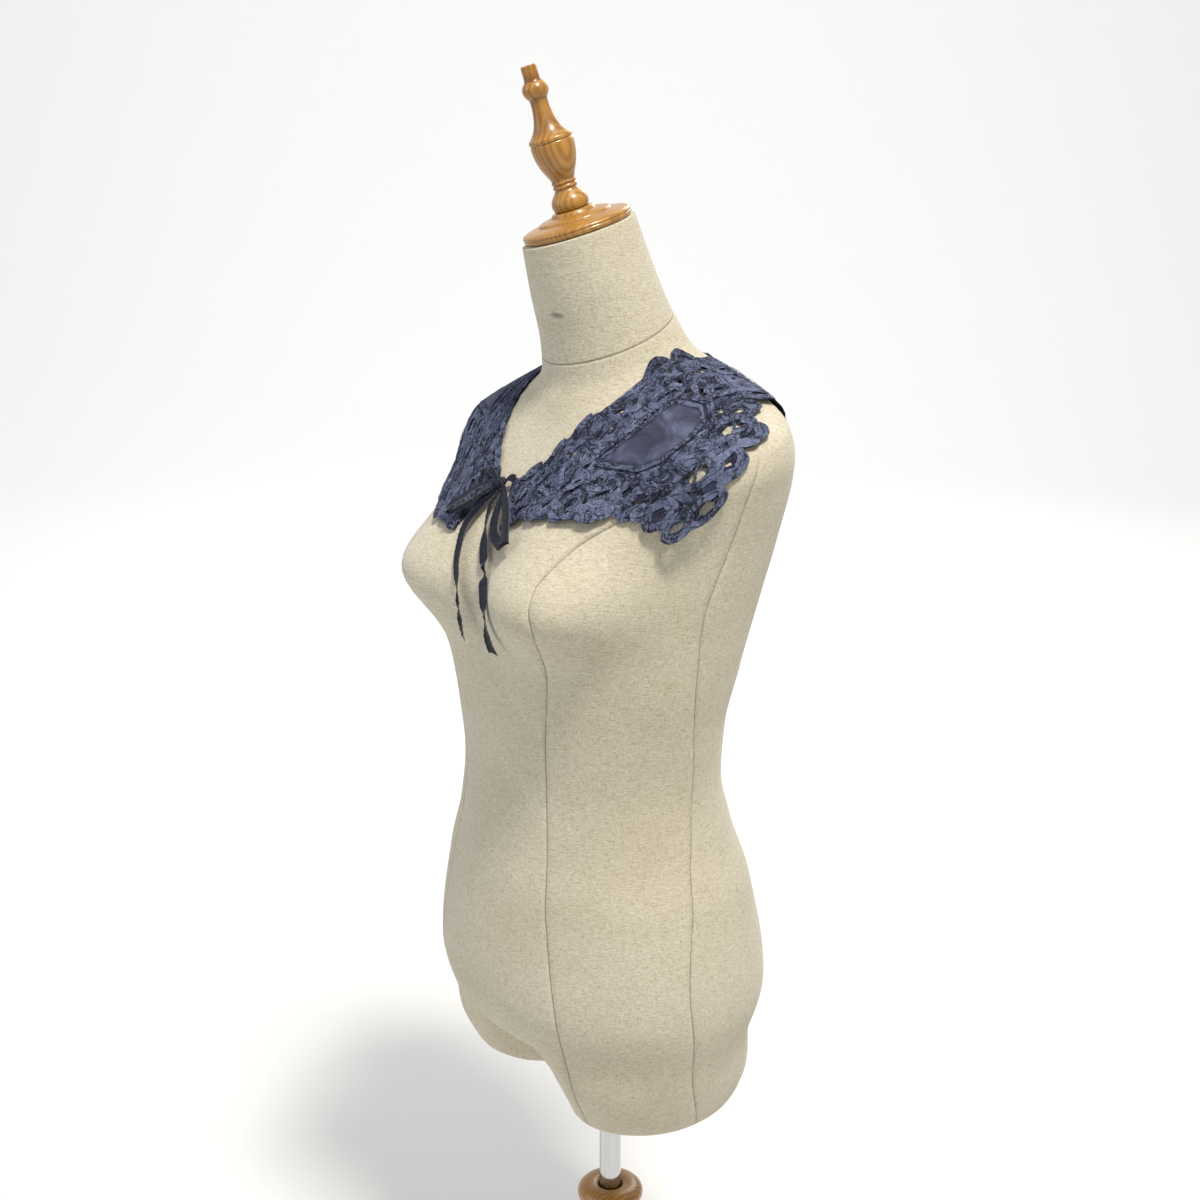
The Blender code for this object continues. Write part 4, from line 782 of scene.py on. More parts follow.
class Drape:

    # the form under the collar is read every few degrees and mm, then laid out on a finer grid
    step, reach, pace = 5.0, 175.0, 5.0
    gridStep, gridFrom, gridTo, gridPace = 1.5, -14, 172, 2.0

    def __init__(self, side, cut, ridgeRows):
        self.side, self.cut, self.ridgeRows = side, cut, ridgeRows
        self.angles = np.arange(0, 180 + self.step / 2, self.step)
        strips = np.array([self.strip(a) for a in self.angles])
        for _ in range(3):
            eased = strips.copy()
            eased[1:-1] = (strips[:-2] + 2 * strips[1:-1] + strips[2:]) / 4
            eased[:, 1:-1] = (eased[:, :-2] + 2 * eased[:, 1:-1] + eased[:, 2:]) / 4
            strips = np.array([[self.clear(Vector(p), k * self.pace) for k, p in enumerate(s)] for s in eased])
        self.strips = strips
        self.gridAngles = np.arange(0, 180.01, self.gridStep)
        self.gridDowns = np.arange(self.gridFrom, self.gridTo, self.gridPace)
        self.places = np.array([[self.at(a, d) for d in self.gridDowns] for a in self.gridAngles])
        along = np.gradient(self.places, axis=0)
        across = np.gradient(self.places, axis=1)
        normals = np.cross(across, along) * side
        self.normals = normals / np.linalg.norm(normals, axis=2, keepdims=True)

    def strip(self, angle):
        # a line down the form from the neck edge, pulled taut over its hollows
        turnBy = math.radians(self.side * angle + collar["turn"])
        out = Vector((math.sin(turnBy), -math.cos(turnBy), 0))
        start = smoothTable(self.cut, angle, 1)
        middle = collar["neckAxis"] + Vector((0, 0, collar["rayHeight"]))
        outline = []
        for degrees in range(84, -62, -2):                    # steep up to steep down
            tilt = math.radians(degrees)
            ray = out * math.cos(tilt) + Vector((0, 0, math.sin(tilt)))
            hit = torsoTree.ray_cast(middle + ray * 0.6, -ray)[0]
            if hit is not None:
                outline.append(((hit - collar["neckAxis"]).dot(out) / mm, hit.z / mm))
        first = next(i for i, (flat, z) in enumerate(outline) if flat >= start)
        before, after = outline[first - 1], outline[first]
        share = (start - before[0]) / (after[0] - before[0])
        chain = [(start, before[1] + share * (after[1] - before[1]))]
        for point in outline[first:]:
            while len(chain) > 1 and self.hollow(chain[-2], chain[-1], point):
                chain.pop()
            chain.append(point)
        chain = np.array(chain)
        lengths = np.concatenate([[0], np.cumsum(np.hypot(*np.diff(chain, axis=0).T))])
        wanted = np.arange(0, self.reach + 1, self.pace)
        flats = np.interp(wanted, lengths, chain[:, 0])
        heights = np.interp(wanted, lengths, chain[:, 1])
        points = [collar["neckAxis"] + out * (f * mm) + Vector((0, 0, z * mm)) for f, z in zip(flats, heights)]
        return [self.clear(p, k * self.pace) for k, p in enumerate(points)]

    def hollow(self, a, b, c):
        return (b[0] - a[0]) * (c[1] - a[1]) - (b[1] - a[1]) * (c[0] - a[0]) >= 0

    def clear(self, point, down):
        extra = (collar["clearance"] - collar["neckClearance"]) * min(1.0, max(0.0, down / collar["grip"]))
        wanted = (collar["neckClearance"] + extra) * mm
        place, normal, _, _ = torsoTree.find_nearest(point)
        off = (point - place).dot(normal)
        return point + normal * (wanted - off) if off < wanted else point

    def bare(self, angle, down):
        i = min(max(angle / self.step, 0), len(self.angles) - 1.001)
        j = min(max(down / self.pace, -3), self.strips.shape[1] - 1.001)
        i0, j0 = int(i), max(int(j), 0)
        s, t = i - i0, j - j0
        grid = self.strips
        low = grid[i0, j0] * (1 - s) + grid[i0 + 1, j0] * s
        high = grid[i0, j0 + 1] * (1 - s) + grid[i0 + 1, j0 + 1] * s
        return Vector(low * (1 - t) + high * t)

    def at(self, angle, down):
        along = self.bare(min(angle + 4, 180), down) - self.bare(max(angle - 4, 0), down)
        across = self.bare(angle, down + 6) - self.bare(angle, down - 6)
        normal = (across.cross(along) * self.side).normalized()
        share = min(1.2, max(0.0, down / smoothTable(self.cut, angle, 2)))
        lift = sum(rise * math.exp(-(((angle - middle) / spread) ** 2)) for middle, spread, rise in self.ridgeRows)
        return self.clear(self.bare(angle, down) + normal * (lift * share ** collar["ridgeRise"] * mm), down)

    def lay(self, flat, heights):
        # flat points in mm to their worn places, raised off the cloth's inside by heights in mm
        flat = np.asarray(flat, float)
        angle = np.clip(np.degrees(np.arctan2(flat[:, 0], flat[:, 1])) / collar["sweep"] * 180, 0, collar["backSeam"])
        down = np.hypot(flat[:, 0], flat[:, 1]) - collar["flatNeck"]
        i = np.clip(angle / self.gridStep, 0, len(self.gridAngles) - 1.001)
        j = np.clip((down - self.gridFrom) / self.gridPace, 0, len(self.gridDowns) - 1.001)
        i0, j0 = i.astype(int), j.astype(int)
        s, t = (i - i0)[:, None], (j - j0)[:, None]

        def mixed(grid):
            top = grid[i0, j0] * (1 - s) + grid[i0 + 1, j0] * s
            bottom = grid[i0, j0 + 1] * (1 - s) + grid[i0 + 1, j0 + 1] * s
            return top * (1 - t) + bottom * t

        return mixed(self.places) + mixed(self.normals) * (np.asarray(heights)[:, None] * mm)


def flatPlace(angle, down):
    # from the worn collar's angle and distance down to the flat cut
    turnBy = math.radians(angle / 180 * collar["sweep"])
    r = collar["flatNeck"] + down
    return Vector((r * math.sin(turnBy), r * math.cos(turnBy)))


def widthAt(cut, angle):
    return smoothTable(cut, min(max(angle, 0), 180), 2)


def frontEdge(share):
    return collar["frontEdge"][0] + (collar["frontEdge"][1] - collar["frontEdge"][0]) * share


def alongEdge(cut, shares):
    # places along the outer edge without its scallops, and the way out from each
    angles = np.linspace(frontEdge(1), collar["backSeam"], 400)
    line = np.array([flatPlace(a, widthAt(cut, a) - collar["lobeDepth"]) for a in angles])
    lengths = np.concatenate([[0], np.cumsum(np.hypot(*np.diff(line, axis=0).T))])
    found = []
    for share in shares:
        reach = share * lengths[-1]
        place, ahead, behind = ([np.interp(reach + step, lengths, line[:, n]) for n in (0, 1)] for step in (0, 4, -4))
        run = Vector(ahead) - Vector(behind)
        found.append((Vector(place), Vector((-run.y, run.x)).normalized()))
    return found


def outerEdge(cut, pointsPerLobe, inset=0.0, shallow=0.0, lobes=len(lobeEnds) - 1):
    # the scalloped edge, drawn in by inset and flattened by shallow
    steps = [k / pointsPerLobe for k in range(pointsPerLobe)]
    reach = [lobe + step for lobe in range(lobes) for step in steps] + [lobes]
    shares = np.interp(reach, range(len(lobeEnds)), lobeEnds)
    edge = []
    for k, (place, out) in enumerate(alongEdge(cut, shares)):
        bulge = math.sin(math.pi * steps[k % pointsPerLobe]) ** collar["lobeRound"] if k % pointsPerLobe else 0.0
        edge.append(place + out * (collar["lobeDepth"] * max(bulge, shallow) - inset))
    return edge


def neckDown(angle):
    # the neck edge's waves and lobes stand up, so they count as less than no distance down
    deep, pitch, last = collar["neckWaves"]
    down = -deep * abs(math.sin(math.pi * angle / pitch)) if angle < last else 0.0
    for start, end, rise in collar["neckLobes"]:
        if start < angle < end:
            down -= rise * math.sin(math.pi * (angle - start) / (end - start)) ** collar["lobeRound"]
    return down


def oval(centre, radial, long, broad, turnBy, sides):
    axisWay = Matrix.Rotation(math.radians(turnBy), 2) @ radial
    cross = Vector((-axisWay.y, axisWay.x))
    return [centre + axisWay * (long / 2 * math.cos(t)) + cross * (broad / 2 * math.sin(t))
            for t in (2 * math.pi * k / sides for k in range(sides))]


def lobeCentres(cut):
    # middle of each scallop's ring, and the ring's length
    ends = [place for place, _ in alongEdge(cut, lobeEnds)]
    middles = alongEdge(cut, [(a + b) / 2 for a, b in zip(lobeEnds, lobeEnds[1:])])
    inset, longest, share = collar["lobeDepth"] - collar["ringIn"], collar["ring"][0], collar["ringShare"]
    return [(place + out * inset, min(longest, share * (b - a).length))
            for (place, out), a, b in zip(middles, ends, ends[1:])]


def insertOutline(grow, step=3.0):
    # the insert's window, grown all round
    corners = [flatPlace(a, d) for a, d in insertCorners]
    outward = []
    for a, b in zip(corners, corners[1:] + corners[:1]):
        run = (b - a).normalized()
        outward.append(Vector((run.y, -run.x)))
    corners = [p + (m + n) * (grow / (1 + m.dot(n)))
               for p, m, n in zip(corners, outward[-1:] + outward[:-1], outward)]
    edge = []
    for a, b in zip(corners, corners[1:] + corners[:1]):
        count = max(1, round((b - a).length / step))
        edge += [a.lerp(b, k / count) for k in range(count)]
    return edge


def jagged(loop, rough, draw):
    # each point strays towards or from the middle
    middle = sum(loop, Vector((0, 0))) / len(loop)
    return [middle + (p - middle) * draw.uniform(1 - rough, 1 + rough) for p in loop]


def gapPlaces(cut):
    return [(flatPlace(angle, share * widthAt(cut, angle)), *shape) for angle, share, *shape in gaps]


def openings(cut, sides=9):
    # drawn in by the gathers: least over the shoulder, most in front and behind
    draw = random.Random(61)
    openAt, stray = collar["openAt"], collar["stray"]
    found = []
    if cut is cuts["right"]:
        angle, down, *shape = collar["frontHole"]
        spot = flatPlace(angle, down)
        found.append(oval(spot, spot.normalized(), *shape, 12))
    for angle, share, _, _, turnBy, long, broad in leaves:
        if long:
            overShoulder = 82 < angle < 99 or (angle < 80 and share < 0.35)
            size = openAt["shoulder" if overShoulder else "side" if angle > 76 else "front"]
            spot = flatPlace(angle, share * widthAt(cut, angle))
            turnBy += draw.uniform(-25, 25)
            loop = oval(spot, spot.normalized(), long * size, broad * size, turnBy, sides)
            found.append(jagged(loop, stray["leaf"], draw))
    for spot, long, broad, turnBy in gapPlaces(cut):
        loop = oval(spot, spot.normalized(), long * openAt["gap"], broad * openAt["gap"], turnBy, 7)
        found.append(jagged(loop, stray["gap"], draw))
    for k, (spot, _) in enumerate(lobeCentres(cut)):
        long, broad = collar["lobeOpenings"][k % 2]
        size = openAt["openLobe" if k == collar["openLobe"] else "wideHole" if k in collar["wideHoles"] else "lobe"]
        loop = oval(spot, spot.normalized(), long * size, broad * size, 90 + draw.uniform(-20, 20), sides)
        found.append(jagged(loop, stray["lobe"], draw))
    return found


def insideMany(points, loop):
    points = np.asarray(points, float)
    loop = np.asarray([tuple(p)[:2] for p in loop], float)
    found = np.zeros(len(points), bool)
    for a, b in zip(loop, np.roll(loop, -1, axis=0)):
        if a[1] == b[1]:
            continue
        crosses = (a[1] > points[:, 1]) != (b[1] > points[:, 1])
        found ^= crosses & (points[:, 0] < a[0] + (points[:, 1] - a[1]) / (b[1] - a[1]) * (b[0] - a[0]))
    return found


def distanceMany(points, loops):
    points = np.asarray(points, float)
    best = np.full(len(points), 1e9)
    for loop in loops:
        line = np.asarray([tuple(p)[:2] for p in loop], float)
        for a, b in zip(line, np.roll(line, -1, axis=0)):
            run = b - a
            t = np.clip(((points - a) @ run) / max(run @ run, 1e-9), 0, 1)
            best = np.minimum(best, np.hypot(*(points - (a + t[:, None] * run)).T))
    return best


# tape lace: mercerised cotton braid about 7 mm wide, gathered and sewn down. It is dull, with paler corded edges.
# Its colour is painted darker low down and in its folds as painted shade, and paler on its ridges as painted light;
# its creases are thin dark lines, sunk as relief and painted near black as painted shade.

laceLook = {
    "shader": {"Roughness": 0.86, "IOR": 1.5, "Specular IOR Level": 0.25},
    "patterns": {"fine": (0.7, 3.0, 0.65, 0.0), "mottle": (4.8, 3.0, 0.6, 0.0), "crumple": (4.3, 3.0, 0.5, 0.8)},
    # creases: spacing in mm, width of the line, how much of the cloth stays free of them
    "folds": ((12, 0.07, 0.42), (6, 0.09, 0.46)), "stitches": (17, 0.010, 0.50),
    # the tone by height over the ground: near black low down as painted shade, paler high up as painted light
    "tone": [(0.0, "#07080f"), (0.12, "#1e2234"), (0.32, "#484f68"), (1.0, "#777f9c")],
    "glazes": [("mottle", 0.3, [(0.36, "#c4c6ce"), (0.64, "#ffffff")]),
               ("fine", 0.5, [(0.36, "#aaacb6"), (0.6, "#ffffff")])],
    "cordLight": [(0.5, 0), (0.62, 0.5)], "cordTone": "#9098b2",
    # stitches are paler lines; the crease lines are painted near black as painted shade, and also sunk as relief
    "stitchTone": "#969eb8", "stitchShare": 0.5, "foldShadeTone": "#080910", "foldShadeShare": 0.94, "foldDeep": 0.4,
}


def crease(tree, size, wide, cover):
    # thin lines where a noise crosses its middle, kept only where a slower noise is high
    place = addNode(tree, "Mapping", {"Vector": addNode(tree, "TexCoord", out="Object"), "Scale": perMm(size)})
    wander = addNode(tree, "TexNoise", {"Vector": place, "Scale": 1.0, "Detail": 1.0, "Distortion": 1.1})
    spread = addNode(tree, "TexNoise", {"Vector": place, "Scale": 0.55, "Detail": 1.0})
    away = addNode(tree, "Math", {0: wander, 1: 0.5}, operation="SUBTRACT")
    away = addNode(tree, "Math", {0: away}, operation="ABSOLUTE")
    line = addNode(tree, "ValToRGB", {"Fac": away}, [(0.0, 1), (wide, 0)])
    kept = addNode(tree, "ValToRGB", {"Fac": spread}, [(cover, 0), (cover + 0.08, 1)])
    return addNode(tree, "Math", {0: line, 1: kept}, operation="MULTIPLY")


def tapeLace():
    material, tree, shader, patterns = newMaterial("navy tape lace", laceLook)
    rise = addNode(tree, "Attribute", out="Fac", attribute_name="rise")
    cord = addNode(tree, "Attribute", out="Fac", attribute_name="cord")
    broad, narrow = (crease(tree, *fold) for fold in laceLook["folds"])
    folds = addNode(tree, "Math", {0: broad, 1: narrow}, operation="MAXIMUM")
    light = addNode(tree, "ValToRGB", {"Fac": patterns["mottle"]}, laceLook["cordLight"])
    # painted shade and painted light: the colour follows the height over the ground
    base = addNode(tree, "ValToRGB", {"Fac": rise}, laceLook["tone"])
    base = glazed(tree, base, laceLook, patterns)
    # paler cords and stitches, then the crease lines painted near black as painted shade
    for mark, share, tone in ((cord, light, "cordTone"),
                              (crease(tree, *laceLook["stitches"]), laceLook["stitchShare"], "stitchTone"),
                              (folds, laceLook["foldShadeShare"], "foldShadeTone")):
        share = addNode(tree, "Math", {0: mark, 1: share}, operation="MULTIPLY")
        base = addNode(tree, "Mix", {0: share, 6: base, 7: linear(laceLook[tone])}, out=2, data_type="RGBA")
    sunk = addNode(tree, "Math", {0: folds, 1: laceLook["foldDeep"]}, operation="MULTIPLY")
    rough = addNode(tree, "Math", {0: patterns["crumple"], 1: sunk}, operation="SUBTRACT")
    finished(tree, shader, base, [(rough, 2.0, 0.9), (patterns["fine"], 0.25, 0.6)])
    return material


# lace thread: mercerised cotton, plied and corded round the edges. It is a little paler and smoother than the tape,
# and its ply, drawn at 1.1 mm so that it shows, makes it change tone along its length.

threadLook = {
    "shader": {"Roughness": 0.6, "IOR": 1.53},
    "patterns": {"ply": (1.1, 2.0, 0.5, 0.0)}, "tone": [(0.35, "#424962"), (0.65, "#747c96")],
}


def laceThread():
    material, tree, shader, patterns = newMaterial("navy lace thread", threadLook)
    tone = addNode(tree, "ValToRGB", {"Fac": patterns["ply"]}, threadLook["tone"])
    finished(tree, shader, tone, [(patterns["ply"], 0.2, 0.5)])
    return material


# navy lawn: cotton, plain-woven and fine, set in as the insert. It is smooth and flat beside the lace. Its colour is
# painted paler on the puckers' crests and darker in their dips, as painted sheen and painted shade, and darker at
# its rim, as painted shade under the band. The threads are drawn at 0.4 mm so that they show.

lawnLook = {
    "shader": {"Roughness": 0.8, "IOR": 1.53, "Specular IOR Level": 0.25},
    "patterns": {"warp": ((0.4, 0.4, 2.0), 2.0, 0.5, 0.0), "weft": ((2.0, 2.0, 0.4), 2.0, 0.5, 0.0),
                 "puckersAndSheen": (24, 3.0, 0.55, 0.8)},
    "tone": [(0.34, "#2a2d3d"), (0.5, "#3a3e52"), (0.68, "#545970")],
    # the rim's tone: painted shade where the lawn runs under the band
    "glazes": [("weave", 0.5, [(0.7, "#bebecd"), (1.0, "#ffffff")])], "rimShadeTone": "#181a28",
}


def navyLawn():
    material, tree, shader, patterns = newMaterial("navy lawn", lawnLook)
    weave = addNode(tree, "Math", {0: patterns["warp"], 1: patterns["weft"]}, operation="ADD")
    # the tone follows the puckers: paler on their crests as painted sheen, darker in their dips as painted shade
    base = addNode(tree, "ValToRGB", {"Fac": patterns["puckersAndSheen"]}, lawnLook["tone"])
    base = glazed(tree, base, lawnLook, {"weave": weave})
    rise = addNode(tree, "Attribute", out="Fac", attribute_name="rise")
    # painted shade at the rim, where the lawn runs under the band
    hem = addNode(tree, "Math", {0: 1.0, 1: rise}, operation="SUBTRACT", use_clamp=True)
    base = addNode(tree, "Mix", {0: hem, 6: base, 7: linear(lawnLook["rimShadeTone"])}, out=2, data_type="RGBA")
    finished(tree, shader, base, [(patterns["puckersAndSheen"], 1.6, 0.5), (weave, 0.15, 0.5)])
    return material


laceCloth, threadCloth, lawnCloth = tapeLace(), laceThread(), navyLawn()

lace = {
    # the ground under the tapes: spacing of its points, height, unevenness and its length, thickness, all in mm
    "groundSeeds": 3.4, "groundRise": 0.35, "groundBump": 0.35, "groundLong": 4.2, "groundThick": 0.35,
    # a tape: spacing of its points, width, gathers and their length, rise of its corded edges, wander, creases
    "pace": 1.05, "tapeWide": 7.0, "gather": 0.30, "gatherLong": 3.1, "cordRise": 0.34, "wander": 0.45,
    # the outline value paints each tape's outer edges darker as painted shade; topRise is the height painted palest
    "crease": 0.7, "outline": 0.5, "part": 0.46, "topRise": 3.0, "flatten": 0.82, "levels": (0.1, 3.7),
    # crumples: height, length, the length of their drift; they grow with the height over the ground, and their
    # valleys are painted darker and their crests paler, as painted shade and painted light
    "crumple": 0.5, "crumpleLong": 4.6, "driftLong": 17, "crumpleFrom": 0.4, "crumpleOver": 1.2, "crumpleShade": 0.3,
    # ground tapes: spacing of the rows, the last row, how they turn inside and outside a distance from the neck
    "fillSpacing": 7.8, "fillTo": 142, "flow": (50, 0.24, 0.55), "flowLong": 28, "fillLong": (18, 40),
    "fillWide": (0.62, 0.95), "fillLevel": (0.7, 1.35), "fillBend": 0.055,
    # rows that follow the neck edge: distance down, share of its waves, first point, level, width, gathers
    "neckRows": [(3.6, 0.9, 0, 1.5, 7.0, 0.6), (9.6, 0.45, 3, 1.15, 6.0, 0.9)],
    # zigzags below them: distance down, swing, beat, first angle, pace, level, width
    "zigzags": [(16, 4, math.pi / 2.5, 10.0, 2.1, 1.45, 6.2), (30, 5, 1.25, 114, 3.0, 1.6, 7.2)],
    # bands by the insert: distance out, level, width, gathers, tucked or not; then where the tapes tuck under them
    "bands": [(1.6, 1.65, 3.6, 0.6, 0.0), (8.0, 1.55, 6.0, 1.3, 1.0)], "tuck": (3.8, 5.0),
    # leaves: size, outline, share that a tape crosses; the thin bar in the largest: turn, share, level, width
    "leafSize": 0.86, "leafRough": 0.13, "crossed": 0.5, "largeFrom": 11, "bar": (114, 0.62, 1.2, 1.9),
    # scallops: tapes of a ring and of the open one; borders: inset, level, width, gathers, and how many scallops
    "ringTapes": (7.0, 4.8), "ringRough": 0.06,
    "borders": [(2.6, 0.0, len(lobeEnds) - 1, 1.95, 5.0, 0.9), (4.4, 1.0, 5, 1.2, 6.6, 1.1)],
    # small loops on the front's border: spacing, length, breadth, tape, inset and number of scallops
    "frontPicot": (14.0, 11, 6, 4.8), "picotInset": 5.0, "picotLobes": 5,
    # leaves at the neck edge: angle and length; share of the length, breadth, tape, level, distance over the edge
    "neckLeaves": {"left": [(18, 15), (33, 11), (46.5, 17)], "right": [(18, 13), (28, 13)]},
    "neckLeaf": (0.62, 5.6, 5.0, 2.2, 0.8), "frontRows": [(3.0, 1.45), (3.9, 1.675)], "frontTape": 6.4,
    # loose threads: how many, most tries, length, bend, thickness, height; then bars in holes over this size
    "threads": 46, "tries": 900, "threadLong": (12, 40), "threadBend": 0.06, "threadThick": 0.16, "threadLevel": 2.55,
    "barsFrom": 6.5, "threeBarsFrom": 9, "barPast": 1.6, "barLevel": 1.1,
}


def smoothPath(points, closed, pace):
    line = np.asarray([tuple(p)[:2] for p in points], float)
    n = len(line)
    if closed:
        before, after, later = np.roll(line, 1, 0), np.roll(line, -1, 0), np.roll(line, -2, 0)
        spans = n
    else:
        before = np.vstack([2 * line[0] - line[1], line[:-1]])
        after = np.vstack([line[1:], 2 * line[-1] - line[-2]])
        later = np.vstack([line[2:], after[-1:], after[-1:]])
        spans = n - 1
    fine = []
    for k in range(spans):
        for t in np.linspace(0, 1, 8, endpoint=False):
            a, b, c, d = before[k], line[k], after[k], later[k]
            fine.append(0.5 * (2 * b + (c - a) * t + (2 * a - 5 * b + 4 * c - d) * t * t
                               + (3 * b - a - 3 * c + d) * t ** 3))
    fine.append(line[0] if closed else line[-1])
    fine = np.array(fine)
    lengths = np.concatenate([[0], np.cumsum(np.hypot(*np.diff(fine, axis=0).T))])
    count = max(4, int(round(lengths[-1] / pace)))
    wanted = np.linspace(0, lengths[-1], count + 1)
    if closed:
        wanted = wanted[:-1]
    return np.stack([np.interp(wanted, lengths, fine[:, n]) for n in (0, 1)], axis=1), lengths[-1]


def crumpled(flat, seed):
    # two sizes of soft fold, each with a sharp valley where its noise passes zero, in mm
    long = lace["crumpleLong"]
    found = []
    for x, y in flat:
        push = 4.0 * noise.noise(Vector((x / lace["driftLong"], y / lace["driftLong"], seed)))
        a = abs(noise.noise(Vector(((x + push) / long, (y - push) / long, seed + 4))))
        b = abs(noise.noise(Vector(((x - push) / long * 2.1, (y + push) / long * 2.1, seed + 9))))
        found.append(min(a, 0.34) * 2.4 + min(b, 0.3) * 1.1 - 0.62)
    return lace["crumple"] * np.array(found)


class TapeWork:

    # across the tape: share of half width, share of the cord's rise, share of the gathers, whether it is a cord
    section = [
        (-1.0, -0.9, 0.2, 0), (-0.90, 1.0, 0.5, 1), (-0.68, 0.0, 1.0, 0), (-0.2, 0.12, 1.0, 0), (0.0, 0.12, 1.0, 0),
        (0.2, 0.12, 1.0, 0), (0.68, 0.0, 1.0, 0), (0.90, 1.0, 0.5, 1), (1.0, -0.9, 0.2, 0)]
    # slow waves along it, as size and length: the gathers lean and swell, the crease comes and goes and slides
    # across, the edges sway, the whole tape rises and falls, and its breadth changes
    waves = {
        "swing": (0.9, 5.3), "smallSwing": (0.7, 2.1), "swell": (0.35, 7.9), "creased": (0.9, 6.3),
        "slide": (0.34, 4.1), "sway": (1.0, 3.1), "smallSway": (0.6, 1.3), "rising": (0.30, 6.7),
        "breadth": (0.1, 4.3)}

    def __init__(self, seed):
        self.flat, self.heights, self.cords, self.rises, self.faces, self.tucks = [], [], [], [], [], []
        self.count = 0
        self.random = random.Random(seed)
        self.parted = []
        self.ground = (0, 0)

    def part(self, line, half):
        # the tape's middle bends round each small gap
        for spot, reach in self.parted:
            away = line - np.array(spot)
            far = np.maximum(np.hypot(*away.T), 0.3)
            push = np.maximum(0, reach + half - far) * (far < reach + half)
            line = line + away / far[:, None] * push[:, None]
        return line

    def add(self, points, closed, level, wide, gather=1.0, arch=0.0, tuck=1.0):
        # one tape along a line, gathered and corded, closed underneath; its level and arch are heights in mm
        line, length = smoothPath(points, closed, lace["pace"])
        n = len(line)
        if tuck:
            line = self.part(line, wide * lace["part"])
        if closed:
            run = np.roll(line, -1, 0) - np.roll(line, 1, 0)
        else:
            run = np.gradient(line, axis=0)
        run /= np.maximum(np.hypot(*run.T), 1e-9)[:, None]
        side = np.stack([-run[:, 1], run[:, 0]], axis=1)
        reach = np.arange(n) * length / n
        draw = self.random
        phases = [draw.uniform(0, 6.28) for _ in range(6)]
        turns = max(1, round(length / lace["gatherLong"]))
        beat = 2 * math.pi * turns * reach / length

        def wave(key, phase):
            size, long = self.waves[key]
            return size * np.sin(reach / long + phase)

        swing = wave("swing", phases[0]) + wave("smallSwing", phases[1])
        swell = 0.65 + wave("swell", phases[2])
        creased = np.clip(0.45 + wave("creased", 2 * phases[3]), 0, 1) * tuck
        slide = wave("slide", phases[5])
        sway = lace["wander"] * (wave("sway", phases[3]) + wave("smallSway", phases[4]))
        rising = wave("rising", phases[5])
        if closed:
            ease = np.minimum(1, np.minimum(reach, length - reach) / 6)
            swing, sway, rising, slide = swing * ease, sway * ease, rising * ease, slide * ease
        if not tuck:
            sway, rising = sway * 0.2, rising * 0.2
        ends = np.ones(n) if closed else np.clip(np.minimum(reach, length - reach) / 3.0, 0, 1) ** 0.5
        middle = np.sin(math.pi * np.arange(n) / max(n - 1, 1)) if not closed else np.ones(n)
        half = wide / 2 * (0.9 + wave("breadth", phases[1]))
        for share, cordShare, gatherShare, isCord in self.section:
            lean = swing + share * 1.6
            pleat = np.sin(beat + lean) * lace["gather"] * gather * gatherShare * swell
            pleat += 0.5 * lace["gather"] * gather * gatherShare * np.sin(2.3 * beat + 2 * lean + phases[4])
            moved = share * half + sway * abs(share) + slide * half * max(0.0, 1 - abs(share) / 0.68)
            place = line + side * moved[:, None]
            edge = lace["cordRise"] * cordShare * (1 if cordShare > 0 else 0.7)
            fold = lace["crease"] * creased * (share == 0.0)
            height = level + rising + arch * middle + pleat + edge - fold
            height = height * ends + (1 - ends) * lace["groundRise"]
            self.flat.append(place)
            self.heights.append(height)
            self.cords.append(np.full(n, float(isCord)))
            # painted shade and light: paler the higher the tape lies, darker along its middle crease and at its outer
            # edges
            self.rises.append((height - lace["groundRise"]) / (lace["topRise"] - lace["groundRise"]) - 0.6 * fold
                              - (lace["outline"] if abs(share) == 1.0 else 0.0))
        rows = len(self.section)
        self.flat.append(line)
        self.heights.append(np.maximum(level - 0.75, 0.12) * np.ones(n))
        self.cords.append(np.zeros(n))
        self.rises.append(np.zeros(n))
        rows += 1
        self.tucks.append(np.full(n * rows, tuck))
        first = self.count
        for i in range(rows):
            j = (i + 1) % rows
            for k in range(n if closed else n - 1):
                m = (k + 1) % n
                self.faces.append((first + i * n + k, first + i * n + m, first + j * n + m, first + j * n + k))
        if not closed:
            self.faces.append(tuple(first + i * n for i in range(rows)))
            self.faces.append(tuple(first + i * n + n - 1 for i in reversed(range(rows))))
        self.count += rows * n

    def pieces(self, side, drape):
        # the ground tapes as one piece and the rest as another, so that neither is too large
        flat = np.vstack(self.flat)
        heights, rises = np.concatenate(self.heights), np.concatenate(self.rises)
        rough = crumpled(flat, drape.side * 3.7)
        heights = heights + rough * np.clip((heights - lace["crumpleFrom"]) / lace["crumpleOver"], 0, 1)
        # the crumples' valleys painted darker and their crests paler, as painted shade and painted light
        rises = rises + rough * lace["crumpleShade"]
        window = insertOutline(0.0)
        away = np.where(insideMany(flat, window), 0.0, distanceMany(flat, [window]))
        first, last = lace["tuck"]
        kept = np.clip((away - first) / (last - first), 0, 1)
        kept = np.maximum(kept * kept * (3 - 2 * kept), 1 - np.concatenate(self.tucks))
